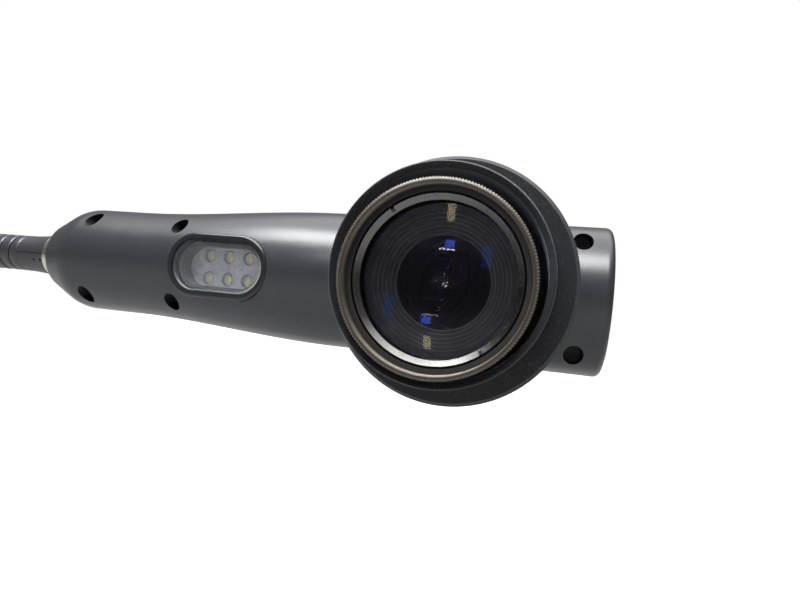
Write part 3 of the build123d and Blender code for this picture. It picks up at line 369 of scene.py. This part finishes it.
# %% [markdown]
# The housing is a dark slate-grey thermoplastic with a spark-eroded texture: matte from afar, with a
# broad satin highlight that sparkles a little. The hood is rubber and nearly black, with a faint bluish
# sheen where it turns away and fine dust. The arm's hose and sleeve are painted metal with a tighter
# shine.

# %% Housing, hood and seal
housing = finish("housing_plastic", (0.022, 0.023, 0.027), 0.30, (0.019, 0.020, 0.023), 0.03, 30.0,
                 specular=0.5, grain=0.02, grain_scale=2600.0)
hood_rubber = finish("hood_rubber", (0.003, 0.003, 0.003), 0.40, (0.005, 0.005, 0.005), 0.06, 60.0,
                     specular=0.3, grain=0.02, grain_scale=2200.0, dust=0.34, dust_scale=2300.0,
                     dust_colour=(0.13, 0.13, 0.13))
hood_shader = hood_rubber.node_tree.nodes["Principled BSDF"]
hood_shader.inputs["Sheen Weight"].default_value = 0.28
hood_shader.inputs["Sheen Roughness"].default_value = 0.5
hood_shader.inputs["Sheen Tint"].default_value = (0.78, 0.84, 1.0, 1)
seal_rubber = finish("seal_rubber", (0.014, 0.014, 0.015), 0.6, grain=0.02)
print("outer finishes: housing, hood, seal")

# %% Arm, lamp frame and turned metal
hose_black = finish("hose_black", (0.022, 0.022, 0.026), 0.34, (0.015, 0.015, 0.018), 0.07, 120.0,
                    specular=0.6, grain=0.012, grain_scale=1500.0)
sleeve_black = finish("sleeve_black", (0.026, 0.025, 0.028), 0.38, (0.018, 0.018, 0.020), 0.08, 160.0,
                      specular=0.5, grain=0.015, grain_scale=1800.0)
bezel_black = finish("bezel_black", (0.009, 0.009, 0.010), 0.24, (0.013, 0.013, 0.014), 0.05, 90.0,
                     specular=0.5, grain=0.01, grain_scale=1500.0)
turned_black = finish("turned_black", (0.028, 0.028, 0.030), 0.35, metallic=0.6, spread=0.08, grain=0.01)
nickel = finish("nickel", (0.62, 0.60, 0.55), 0.22, (0.52, 0.49, 0.44), 0.08, 300.0, metallic=1.0)
zinc = finish("zinc_steel", (0.50, 0.50, 0.49), 0.34, (0.40, 0.40, 0.40), 0.1, 300.0, metallic=1.0)
black_steel = finish("black_steel", (0.035, 0.034, 0.033), 0.38, metallic=0.8, spread=0.1)
gold = finish("gold_pins", (0.85, 0.62, 0.25), 0.25, (0.75, 0.52, 0.2), metallic=1.0)

# %% Inside of the head
insert_plastic = finish("insert_plastic", (0.03, 0.03, 0.03), 0.5, grain=0.01)
lens_black = finish("lens_black", (0.010, 0.010, 0.011), 0.50, (0.014, 0.013, 0.013), 0.05, 200.0,
                    grain=0.01)
chassis_black = finish("chassis_black", (0.018, 0.018, 0.020), 0.42, (0.013, 0.013, 0.014), 0.06, 120.0,
                       grain=0.02)
nylon = finish("nylon", (0.72, 0.69, 0.62), 0.45, (0.66, 0.63, 0.56), 0.05, grain=0.01)
white_board = finish("white_board", (0.42, 0.43, 0.42), 0.38, (0.36, 0.37, 0.37), 0.05, 250.0)
green_board = finish("green_board", (0.02, 0.13, 0.05), 0.35, (0.015, 0.10, 0.04), 0.06, 300.0)
chip_epoxy = finish("chip_epoxy", (0.022, 0.022, 0.025), 0.45, grain=0.01)
foam = finish("foam", (0.03, 0.03, 0.03), 0.9, (0.045, 0.045, 0.045), 0.05, 900.0, grain=0.15,
              grain_scale=1300.0)
amber_film = finish("amber_film", (0.45, 0.24, 0.06), 0.25, (0.38, 0.2, 0.05), 0.05, 150.0, coat=0.5)
can_steel = finish("can_steel", (0.55, 0.55, 0.56), 0.3, (0.48, 0.48, 0.5), 0.1, 260.0, metallic=1.0)
sheath = finish("lead_sheath", (0.03, 0.03, 0.03), 0.5, grain=0.02)

# %% LEDs
cup_silver = finish("cup_silver", (0.80, 0.81, 0.78), 0.35, (0.68, 0.69, 0.67), 0.1, 600.0, metallic=0.2)
phosphor = finish("phosphor", (0.95, 0.86, 0.42), 0.5, (0.88, 0.78, 0.34), 0.1, 2500.0)

# %% Floor: dim for the object's sake, plain white to the camera
floor_white = finish("floor_white", (0.34, 0.34, 0.34), 0.8, (0.32, 0.32, 0.32), 0.02, 3.0)
floor_tree = floor_white.node_tree
floor_ray = floor_tree.nodes.new("ShaderNodeLightPath")
floor_shader = floor_tree.nodes["Principled BSDF"]
floor_shader.inputs["Emission Color"].default_value = (1, 1, 1, 1)
floor_tree.links.new(floor_ray.outputs["Is Camera Ray"], floor_shader.inputs["Emission Strength"])
floor.data.materials.append(floor_white)
print("materials so far:", len(bpy.data.materials))


# %% [markdown]
# Glass keeps a plain transmission. The tint of a lens coating shows only in what it reflects, so it
# goes on the specular tint, and the body of the glass stays clear.

# %% Glass
def clear(name, colour, roughness, ior=1.5, tint=(1, 1, 1)):
    """A clear, refracting finish with a tinted reflection."""
    material = bpy.data.materials.new(name)
    material.use_nodes = True
    shader = material.node_tree.nodes["Principled BSDF"]
    shader.inputs["Base Color"].default_value = (*colour, 1)
    shader.inputs["Transmission Weight"].default_value = 1.0
    shader.inputs["IOR"].default_value = ior
    shader.inputs["Specular Tint"].default_value = (*tint, 1)
    shader.inputs["Roughness"].default_value = roughness
    return material


front_glass = clear("front_glass", (0.93, 0.93, 0.96), 0.0, 1.5, (0.28, 0.27, 0.33))
coated_glass = clear("coated_glass", (0.74, 0.70, 0.77), 0.0, 1.5, (0.06, 0.055, 0.08))
filter_glass = clear("filter_glass", (0.6, 0.85, 0.9), 0.02, 1.5)


# %% Clear plastic
TURN_BLEND = 0.35         # how early a surface counts as turned away


def see_through(name, colour, roughness, facing, grazing):
    """Thin clear plastic: light passes straight in, and more of the surface shows where it turns away."""
    material = bpy.data.materials.new(name)
    material.use_nodes = True
    tree = material.node_tree
    shader = tree.nodes["Principled BSDF"]
    shader.inputs["Base Color"].default_value = (*colour, 1)
    shader.inputs["Roughness"].default_value = roughness
    shader.inputs["Specular IOR Level"].default_value = 1.0
    turned_away = tree.nodes.new("ShaderNodeLayerWeight")
    turned_away.inputs["Blend"].default_value = TURN_BLEND
    amount = maths(tree, "MULTIPLY_ADD", turned_away.outputs["Facing"], grazing - facing, facing)
    tree.links.new(amount, shader.inputs["Alpha"])
    return material


PLASTIC_GREY = (0.33, 0.345, 0.36)
clear_plastic = see_through("clear_plastic", PLASTIC_GREY, 0.12, 0.04, 0.32)
led_clear = see_through("led_clear", (0.62, 0.63, 0.60), 0.06, 0.05, 0.42)

# %% [markdown]
# The window's edge catches light from inside the plastic, most at the end nearer the lens and along
# its lower side. The window is a slot with round ends, so the glow goes by how far a point lies from a
# short level line in the window's middle.

# %% Distance of a point from the window's middle line
cover_low, cover_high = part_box("lamp_cover")
cover_half = (cover_high - cover_low) / 2
EDGE_BAND = 1.0 * MM
EDGE_GREEN = (0.72, 0.80, 0.74)
GLOW_STRENGTH = 0.75
tree = clear_plastic.node_tree
shader = tree.nodes["Principled BSDF"]
thin = shader.inputs["Alpha"].links[0].from_socket
from_middle = tree.nodes.new("ShaderNodeVectorMath")
from_middle.operation = "SUBTRACT"
from_middle.inputs[1].default_value = lamp_centre
tree.links.new(object_place(clear_plastic), from_middle.inputs[0])
apart = tree.nodes.new("ShaderNodeSeparateXYZ")
tree.links.new(from_middle.outputs[0], apart.inputs[0])
beyond = maths(tree, "SUBTRACT", maths(tree, "ABSOLUTE", apart.outputs["X"]), cover_half.x - cover_half.z)
beyond = maths(tree, "MAXIMUM", beyond, 0.0)
level_square = maths(tree, "POWER", beyond, 2.0)
upright_square = maths(tree, "POWER", maths(tree, "ABSOLUTE", apart.outputs["Z"]), 2.0)
reach = maths(tree, "SQRT", maths(tree, "ADD", level_square, upright_square))

# %% Glow of the window's rim, lower down and towards the lens
rim = maths(tree, "MULTIPLY_ADD", reach, 1 / EDGE_BAND, 1 - cover_half.z / EDGE_BAND, True)
lower = maths(tree, "MULTIPLY_ADD", apart.outputs["Z"], -0.6 / cover_half.z, 0.35)
lower = maths(tree, "MULTIPLY_ADD", apart.outputs["X"], 0.5 / cover_half.x, lower, True)
glow = maths(tree, "MULTIPLY", rim, lower)
tree.links.new(maths(tree, "MULTIPLY_ADD", glow, GLOW_STRENGTH, thin, True), shader.inputs["Alpha"])
tree.links.new(mix_colour(tree, glow, PLASTIC_GREY, EDGE_GREEN), shader.inputs["Base Color"])
print("window, mm:", [round(size * 2 / MM, 1) for size in cover_half])

# %% Put the finishes on the parts that keep their CAD shape
part_finish = {
    "front_shell": housing, "rear_shell": housing, "lens_hood": hood_rubber, "barrel_gasket": foam,
    "lamp_bezel": bezel_black, "lamp_cover": clear_plastic, "lamp_board": white_board,
    "lamp_header": chip_epoxy,
    "housing_screws": black_steel, "arm_sleeve": sleeve_black, "base_ferrule": sleeve_black,
    "arm_end_fitting": turned_black, "base_stud": turned_black, "nose_bushing": nickel,
    "nose_seal": seal_rubber,
    "clamp_nut": zinc, "base_connector": insert_plastic, "connector_pins": gold,
    "main_board": green_board, "sensor_board": green_board, "board_screws": zinc, "sensor_screws": zinc,
    "processor_chip": chip_epoxy, "image_sensor": chip_epoxy, "lead_connector": nylon, "arm_lead": sheath,
    "ribbon_cable": amber_film, "camera_chassis": chassis_black, "second_cell": lens_black,
    "iris_plate": lens_black, "iris_blade_left": black_steel, "iris_blade_right": black_steel,
    "zoom_carriage": lens_black, "focus_carriage": lens_black, "guide_rods": black_steel,
    "zoom_screw": zinc, "focus_screw": zinc, "zoom_motor": can_steel, "focus_motor": can_steel,
    "close_up_glass": front_glass, "front_lens": coated_glass, "second_lens": coated_glass,
    "zoom_lens": coated_glass, "focus_lens": coated_glass, "infrared_filter": filter_glass,
}
for name, material in part_finish.items():
    nodes[name].data.materials.clear()
    nodes[name].data.materials.append(material)
print("finished parts:", len(part_finish))


# %% [markdown]
# ## Turning round parts
# Most new pieces are turned. The profile starts as a circle primitive with as many points as the
# profile needs. Its points are moved onto the profile, and Spin carries it round the axis. Merging
# closes the seam, and the normals are made to point outwards.

# %% A lathe from a circle primitive and Spin
X_AXIS = Vector((1, 0, 0))
LENS_WAY = Vector((0, -1, 0))
UP = Vector((0, 0, 1))
MERGE = 1e-6


def turned(name, profile, centre, along, steps, material):
    """Spin a closed profile of (distance along, radius) points, in millimetres, about an axis."""
    deselect()
    bpy.ops.mesh.primitive_circle_add(vertices=len(profile), radius=1.0)
    piece = bpy.context.object
    piece.name = name
    for vertex, (distance, radius) in zip(piece.data.vertices, profile):
        vertex.co = centre + along * distance * MM + UP * radius * MM
    bpy.ops.object.mode_set(mode="EDIT")
    bpy.ops.mesh.select_all(action="SELECT")
    bpy.ops.mesh.spin(steps=steps, angle=2 * math.pi, center=centre, axis=along)
    bpy.ops.mesh.select_all(action="SELECT")
    bpy.ops.mesh.remove_doubles(threshold=MERGE)
    bpy.ops.mesh.normals_make_consistent(inside=False)
    bpy.ops.object.mode_set(mode="OBJECT")
    bpy.ops.object.shade_smooth_by_angle(angle=math.radians(32))
    piece.data.materials.append(material)
    return piece


# %% [markdown]
# ## The ribbed arm
# The real arm is an interlocked metal hose: flat bands with narrow dark grooves between them. Here
# each link carries its own rigid length of hose, four bands long. Where two lengths meet, the next
# one starts with a ball-shaped collar that slides inside the open end of the one before. The collar
# is centred on the hinge, so the arm stays closed when it bends, and the bands never touch.

# %% Sizes of the hose
BAND_PITCH = 4.5
GROOVE_DEPTH = 0.62
GROOVE_HALF = 0.22
CROWN = 0.10
HOSE_WALL = 0.55
HOSE_STEPS = 56
COLLAR_R = 7.38
COLLAR_WALL = 0.5
COLLAR_START = -24        # degrees from the hinge's plane, towards the length before
COLLAR_END = 7.7          # where the first band starts, just over half the hinge's bend
MOUTH_R = 7.45            # inside of the open end that takes the collar
MOUTH_DEPTH = 4.05


def arc(radius, start, stop, steps):
    """Points on a circle round the hinge, as (distance along, radius)."""
    angles = [math.radians(start + (stop - start) * step / steps) for step in range(steps + 1)]
    return [(radius * math.sin(angle), radius * math.cos(angle)) for angle in angles]


def band_profile(left, right, radius):
    """One band, rounded at its edges and slightly crowned."""
    return [(left + GROOVE_HALF * 0.3, radius - 2 * CROWN), (left + GROOVE_HALF, radius - CROWN),
            (left * 0.72 + right * 0.28, radius - CROWN * 0.3), ((left + right) / 2, radius),
            (left * 0.28 + right * 0.72, radius - CROWN * 0.3), (right - GROOVE_HALF, radius - CROWN),
            (right - GROOVE_HALF * 0.3, radius - 2 * CROWN)]


def hose_profile(length, radius, collar, mouth):
    """Bands outside and a bore back, with a collar at the start and an open mouth at the end if asked."""
    gap, collar_top = arc(COLLAR_R, COLLAR_END, COLLAR_END, 1)[0]
    groove_floor = radius - GROOVE_DEPTH
    bore = groove_floor - HOSE_WALL
    bands = round(length / BAND_PITCH)
    outer = arc(COLLAR_R, COLLAR_START, COLLAR_END, 8)[:-1] if collar else [(0, groove_floor)]
    for index in range(bands):
        wide_start = collar and index == 0
        wide_end = mouth and index == bands - 1
        left = gap if wide_start else index * BAND_PITCH + GROOVE_HALF
        right = length - gap if wide_end else (index + 1) * BAND_PITCH - GROOVE_HALF
        outer += [(left, collar_top if wide_start else groove_floor)]
        outer += band_profile(left, right, radius)
        outer += [(right, MOUTH_R if wide_end else groove_floor)]
    if mouth:
        inner = [(length - MOUTH_DEPTH + HOSE_WALL, MOUTH_R), (length - MOUTH_DEPTH, bore)]
    else:
        inner = [(length, groove_floor), (length, bore)]
    if collar:
        under_collar = arc(COLLAR_R - COLLAR_WALL, COLLAR_END, COLLAR_START, 8)
        return outer + inner + [(gap * 2, bore)] + under_collar
    return outer + inner + [(0, bore)]


# %% Turn a length for the base, one for each link, and one for the head
hinges = [Vector(joint["pos_m"]) for joint in arm_joints]
carriers = ["base"] + [joint["child"] for joint in arm_joints]
half_link = X_AXIS * joint_pitch / 2
starts = [hinges[0] - half_link] + hinges
ends = hinges + [hinges[-1] + half_link]
for index, (carrier, start, end) in enumerate(zip(carriers, starts, ends)):
    profile = hose_profile((end - start).length / MM, arm_radius / MM, index > 0, index < len(hinges))
    length = turned(f"arm_hose_{index:02d}", profile, start, X_AXIS, HOSE_STEPS, hose_black)
    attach(length, carrier)
    if 0 < index < len(hinges):
        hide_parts(f"arm_segment_{index:02d}")
print("hose lengths:", len(carriers))


# %% [markdown]
# ## The front ring
# The close-up lens sits in an anodised ring. Its rim is knurled, and handling has worn the black to
# brown on the flat face and to bare metal on the ridges. The profile is turned with two columns of
# points for each tooth, and every second column is then drawn in over the knurled width.

# %% Finish of the worn ring
def worn_ring():
    """Black anodising that browns on the front face and shows pale metal on the knurl's ridges."""
    material = finish("worn_anodised", (0.016, 0.015, 0.014), 0.40, (0.026, 0.022, 0.019), 0.08, 220.0,
                      metallic=0.3, grain=0.01)
    tree = material.node_tree
    shader = tree.nodes["Principled BSDF"]
    black = shader.inputs["Base Color"].links[0].from_socket
    spots = group_node(material, blotch_group, Scale=420.0, Middle=0.62, Spread=0.9)
    worn = mix_colour(tree, spots.outputs["Value"], (0.016, 0.010, 0.007), (0.038, 0.023, 0.014))
    edge = tree.nodes.new("ShaderNodeAttribute")
    edge.attribute_name = "wear"
    browned = mix_colour(tree, edge.outputs["Fac"], black, worn)
    bare = group_node(material, blotch_group, Scale=700.0, Middle=0.6, Spread=0.5)
    ridge = tree.nodes.new("ShaderNodeAttribute")
    ridge.attribute_name = "ridge"
    amount = maths(tree, "MULTIPLY", ridge.outputs["Fac"], bare.outputs["Value"])
    ridged = mix_colour(tree, amount, browned, (0.23, 0.195, 0.145))
    mouth = tree.nodes.new("ShaderNodeAttribute")
    mouth.attribute_name = "mouth"
    bare_thread = mix_colour(tree, mouth.outputs["Fac"], ridged, (0.17, 0.15, 0.115))
    tree.links.new(bare_thread, shader.inputs["Base Color"])
    tree.links.new(maths(tree, "MAXIMUM", mouth.outputs["Fac"], 0.2), shader.inputs["Metallic"])
    return material


def point_value(piece, name, values):
    """Store one number at each point of a mesh, for its material to read."""
    attribute = piece.data.attributes.new(name, "FLOAT", "POINT")
    attribute.data.foreach_set("value", values)


# %% Turn the ring and knurl it
TEETH = 190
KNURL_DEPTH = 0.3
ring_low, ring_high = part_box("close_up_ring")
ring_r = (ring_high.x - ring_low.x) / 2 / MM
ring_length = (ring_high.y - ring_low.y) / MM
ring_back = Vector((lens_axis.x, ring_high.y, lens_axis.z))
filter_r = frame["record"]["mounts"][2]["dims"]["r_mm"]
filter_depth = frame["record"]["mounts"][2]["dims"]["length_mm"]
glass_seat_r = (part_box("close_up_glass")[1].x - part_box("close_up_glass")[0].x) / 2 / MM + 0.2
glass_back = (ring_high.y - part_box("close_up_glass")[1].y) / MM
THREAD_PITCH = 0.75
THREAD_DEPTH = 0.28
CLEAR_R = 19.3            # opening behind the glass
REAR_BORE_R = 19.8
REAR_BORE_DEPTH = 3.0
SEAT_FLOOR = 5.0
BODY_DROP = 0.35          # the ring's body inside its knurled edge
KNURL_WIDTH = 2.6
RIM_DEPTH = 0.8           # points this near the rim's top and front belong to the knurl
RIM_WIDTH = 2.7
BARE_MOUTH = 1.8          # how far in the thread is worn bare


def ring_profile():
    """Back bore, glass seat, threaded filter mouth, worn front face, knurled edge, in millimetres."""
    front = ring_length
    inner = [(0, REAR_BORE_R), (REAR_BORE_DEPTH, REAR_BORE_R), (REAR_BORE_DEPTH, CLEAR_R),
             (SEAT_FLOOR, CLEAR_R), (SEAT_FLOOR, glass_seat_r),
             (front - filter_depth, glass_seat_r), (front - filter_depth, filter_r + THREAD_DEPTH)]
    turns = int((filter_depth - 0.5) / THREAD_PITCH)
    for index in range(turns):
        start = front - filter_depth + index * THREAD_PITCH
        inner += [(start + THREAD_PITCH * 0.45, filter_r), (start + THREAD_PITCH * 0.55, filter_r),
                  (start + THREAD_PITCH, filter_r + THREAD_DEPTH)]
    mouth = [(front - 0.45, filter_r), (front, filter_r + 0.35)]
    face = [(front, ring_r - 0.75), (front - 0.15, ring_r - 0.35)]
    knurl = [(front - 0.45, ring_r), (front - 1.3, ring_r), (front - KNURL_WIDTH, ring_r)]
    body_r = ring_r - BODY_DROP
    back = [(front - 2.8, body_r), (front - 6.0, body_r), (0.3, body_r), (0, ring_r - 0.6)]
    return inner + mouth + face + knurl + back


ring = turned("knurled_ring", ring_profile(), ring_back, LENS_WAY, TEETH * 2, worn_ring())
wear, ridge, mouth = [], [], []
step_angle = math.pi / TEETH
for vertex in ring.data.vertices:
    offset = vertex.co - ring_back
    distance = offset.dot(LENS_WAY) / MM
    radial = offset - LENS_WAY * offset.dot(LENS_WAY)
    radius = radial.length / MM
    column = round(math.atan2(radial.x, radial.z) / step_angle) % 2
    on_rim = radius > ring_r - RIM_DEPTH and distance > ring_length - RIM_WIDTH
    if on_rim and column:
        vertex.co -= radial.normalized() * KNURL_DEPTH * MM
    on_face = distance > ring_length - 0.5 and filter_r < radius < ring_r - 0.6
    wear.append(1.0 if on_face else 0.0)
    ridge.append(1.0 if on_rim and not column and radius > ring_r - 0.5 else 0.0)
    mouth.append(1.0 if radius < filter_r + 0.3 and distance > ring_length - BARE_MOUTH else 0.0)
point_value(ring, "wear", wear)
point_value(ring, "ridge", ridge)
point_value(ring, "mouth", mouth)
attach(ring, "close_up")
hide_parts("close_up_ring")
print("ring faces:", len(ring.data.polygons))

# %% Retaining ring keeps its CAD shape, with a satin turned finish and a painted shadow along its outer edge
retainer_satin = finish("retainer_satin", (0.15, 0.147, 0.14), 0.26, (0.12, 0.117, 0.11), 0.08, 260.0,
                        metallic=1.0, grain=0.004)
tree = retainer_satin.node_tree
shader = tree.nodes["Principled BSDF"]
satin = shader.inputs["Base Color"].links[0].from_socket
from_axis = tree.nodes.new("ShaderNodeVectorMath")
from_axis.operation = "DISTANCE"
flat = tree.nodes.new("ShaderNodeVectorMath")
flat.operation = "MULTIPLY"
flat.inputs[1].default_value = (1, 0, 1)
tree.links.new(object_place(retainer_satin), flat.inputs[0])
tree.links.new(flat.outputs[0], from_axis.inputs[0])
from_axis.inputs[1].default_value = (lens_axis.x, 0, lens_axis.z)
# Beyond this radius the ring is painted near black: painted shade where the thread beside it shades the ring.
painted_thread_shadow = maths(tree, "GREATER_THAN", from_axis.outputs["Value"], (CLEAR_R + 1.35) * MM)
tree.links.new(mix_colour(tree, painted_thread_shadow, satin, (0.006, 0.006, 0.006)), shader.inputs["Base Color"])
nodes["retaining_ring"].data.materials.clear()
nodes["retaining_ring"].data.materials.append(retainer_satin)


# %% [markdown]
# ## Baffles in the barrel
# The blackened barrel is stepped inside, so that stray light is caught between its rings. Only thin
# circles of light on the steps' edges give them away. A funnel of six steps leads from the barrel's
# front down to the front lens, and a short ridged tube stands between that lens and the cell behind it.

# %% Baffle tube
barrel_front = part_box("camera_chassis")[0].y
second_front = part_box("second_cell")[0].y


def stepped(name, start_y, stop_y, outer_r, inner_r, count):
    """A tube with inward ridges between two places along the lens axis."""
    length = abs(stop_y - start_y) / MM
    pitch = length / count
    profile = [(0, outer_r)]
    for index in range(count):
        begin = index * pitch
        profile += [(begin, inner_r), (begin + 0.25, inner_r), (begin + 0.4, outer_r - 0.5),
                    (begin + pitch * 0.96, outer_r - 0.5)]
    profile.append((length, outer_r))
    piece = turned(name, profile, Vector((lens_axis.x, start_y, lens_axis.z)), LENS_WAY, 96, lens_black)
    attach(piece, "head")


# %% Black whose step edges carry a painted highlight
step_black = finish("step_black", (0.005, 0.0048, 0.005), 0.45, (0.003, 0.003, 0.003), 0.06, 240.0,
                    grain=0.006)
tree = step_black.node_tree
shader = tree.nodes["Principled BSDF"]
dark = shader.inputs["Base Color"].links[0].from_socket
lip_highlight = tree.nodes.new("ShaderNodeAttribute")
lip_highlight.attribute_name = "lip_highlight"
# The step edges get a paler colour: a painted highlight where light catches them.
painted_lip_highlight = mix_colour(tree, lip_highlight.outputs["Fac"], dark, (0.085, 0.085, 0.088))
tree.links.new(painted_lip_highlight, shader.inputs["Base Color"])

# %% Turn the stepped funnel
FUNNEL_STEPS = 6
FUNNEL_MOUTH = 17.9       # radius at the front
FUNNEL_THROAT = 11.8      # radius at the back
THROAT_START = 2.2        # where the steps begin
STEP_LIP = 0.12
STEP_POINTS = 6           # points of the outline for each step


def funnel_profile(depth):
    """Steps from the mouth down to the throat, then a back that clears the lens behind."""
    points = []
    fall = (FUNNEL_MOUTH - 1.0 - FUNNEL_THROAT) / (FUNNEL_STEPS - 1)
    rise = (depth - THROAT_START) / FUNNEL_STEPS
    for index in range(FUNNEL_STEPS):
        radius = FUNNEL_THROAT + index * fall
        front = THROAT_START + (index + 1) * rise
        points += [(front - rise + STEP_LIP, radius), (front - 2 * STEP_LIP, radius),
                   (front - STEP_LIP, radius), (front, radius + STEP_LIP),
                   (front, radius + 2 * STEP_LIP), (front, radius + fall * 0.9)]
    outside = [(depth, FUNNEL_MOUTH), (0.3, FUNNEL_MOUTH)]
    return points + outside + [(0.6, FUNNEL_MOUTH - 1.2), (2.0, FUNNEL_THROAT + 0.1)]


LENS_RIM_THICKNESS = 3.0 * MM
lens_rim_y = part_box("front_lens")[1].y - LENS_RIM_THICKNESS
funnel_depth = (lens_rim_y - barrel_front) / MM
funnel_points = funnel_profile(funnel_depth)
lips = [point for index in range(FUNNEL_STEPS)
        for point in funnel_points[index * STEP_POINTS + 2:index * STEP_POINTS + 4]]
funnel_base = Vector((lens_axis.x, lens_rim_y, lens_axis.z))
funnel = turned("stepped_funnel", funnel_points, funnel_base, LENS_WAY, 128, step_black)
# Mark the points on each step's edge, which get the painted highlight.
edges = []
for vertex in funnel.data.vertices:
    offset = vertex.co - funnel_base
    distance = offset.dot(LENS_WAY)
    radius = (offset - LENS_WAY * distance).length
    gaps = [abs(distance / MM - along) + abs(radius / MM - out) for along, out in lips]
    edges.append(float(min(gaps) < STEP_LIP / 4))
point_value(funnel, "lip_highlight", edges)
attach(funnel, "head")

# %% Baffle between the front lens and the cell behind it
baffle_start = second_front - 0.1 * MM
baffle_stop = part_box("front_lens")[1].y + 0.3 * MM
stepped("barrel_baffle", baffle_start, baffle_stop, outer_r=17.95, inner_r=16.2, count=4)
print("funnel depth, mm:", round(funnel_depth, 2))


# %% [markdown]
# ## LEDs
# Each LED is a clear 5 mm dome with a flange at its foot. Inside it stand a silver cup, an oval drop of
# yellow phosphor and the rounded end of a wire post above the cup. The same four outlines are turned at
# each of the six places.

# %% Outlines of one LED, in millimetres along and out from its axis
LED_ROWS = 2
LED_COLUMNS = 3
led_low, led_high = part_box("lamp_leds")
LED_R = 2.5
LED_FLANGE_R = 2.85
led_back = led_high.y
led_length = (led_high.y - led_low.y) / MM
led_span_x = led_high.x - led_low.x - 2 * LED_FLANGE_R * MM
led_span_z = led_high.z - led_low.z - 2 * LED_FLANGE_R * MM


def dome_profile(length, radius):
    """Flange, straight side and round top of one LED, closed on its axis."""
    points = [(0, 0), (0, LED_FLANGE_R), (0.5, LED_FLANGE_R), (0.5, radius)]
    top = length - radius
    for index in range(9):
        angle = math.radians(90 * index / 8)
        points.append((top + math.sin(angle) * radius, math.cos(angle) * radius if index < 8 else 0))
    return points


def cup_profile():
    """A thin reflector dish."""
    return [(0.55, 0), (0.55, 2.0), (1.05, 2.3), (1.15, 2.3), (1.15, 2.15), (0.8, 1.9), (0.8, 0)]


def die_profile():
    """A drop of phosphor."""
    return [(0.7, 0), (0.7, 1.0), (1.3, 0.9), (1.6, 0.5), (1.65, 0)]


def post_profile():
    """The rounded end of the wire's post beside the cup."""
    return [(0.4, 0), (0.4, 0.38), (1.6, 0.38), (1.8, 0.25), (1.85, 0)]


# %% Turn the six LEDs
DIE_STRETCH = 1.5         # the drop is taller than it is wide
DIE_DROP = 0.25 * MM
POST_RISE = 1.72 * MM
for column in range(LED_COLUMNS):
    for row in range(LED_ROWS):
        x = led_low.x + LED_FLANGE_R * MM + led_span_x * column / (LED_COLUMNS - 1)
        z = led_low.z + LED_FLANGE_R * MM + led_span_z * row / (LED_ROWS - 1)
        base = Vector((x, led_back, z))
        tag = f"{column + 1}{'ab'[row]}"
        for name, profile, material in ((f"led_dome_{tag}", dome_profile(led_length, LED_R), led_clear),
                                        (f"led_cup_{tag}", cup_profile(), cup_silver),
                                        (f"led_die_{tag}", die_profile(), phosphor),
                                        (f"led_post_{tag}", post_profile(), cup_silver)):
            place = base + UP * POST_RISE if name.startswith("led_post") else base
            piece = turned(name, profile, place, LENS_WAY, 32, material)
            if name.startswith("led_die"):
                for vertex in piece.data.vertices:
                    vertex.co.z = base.z - DIE_DROP + (vertex.co.z - base.z) * DIE_STRETCH
            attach(piece, "head")
            if name.startswith("led_dome"):
                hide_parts("lamp_leds")
print("LEDs:", LED_ROWS * LED_COLUMNS)


# %% [markdown]
# ## Lamp tray
# The tray behind the window has a pale floor around the LEDs and dark walls. One material does both:
# it looks at how deep a point lies.

# %% Finish of the tray
tray = finish("lamp_tray", (0.78, 0.79, 0.82), 0.30, (0.22, 0.23, 0.25), 0.12, 380.0, metallic=0.2)
tree = tray.node_tree
shader = tree.nodes["Principled BSDF"]
pale = shader.inputs["Base Color"].links[0].from_socket
depth = tree.nodes.new("ShaderNodeSeparateXYZ")
tree.links.new(object_place(tray), depth.inputs[0])
TRAY_FLOOR_RISE = 2.2 * MM
tray_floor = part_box("lamp_reflector")[1].y - TRAY_FLOOR_RISE
wall = maths(tree, "LESS_THAN", depth.outputs["Y"], tray_floor)
tree.links.new(mix_colour(tree, wall, pale, (0.060, 0.062, 0.067)), shader.inputs["Base Color"])
nodes["lamp_reflector"].data.materials.clear()
nodes["lamp_reflector"].data.materials.append(tray)
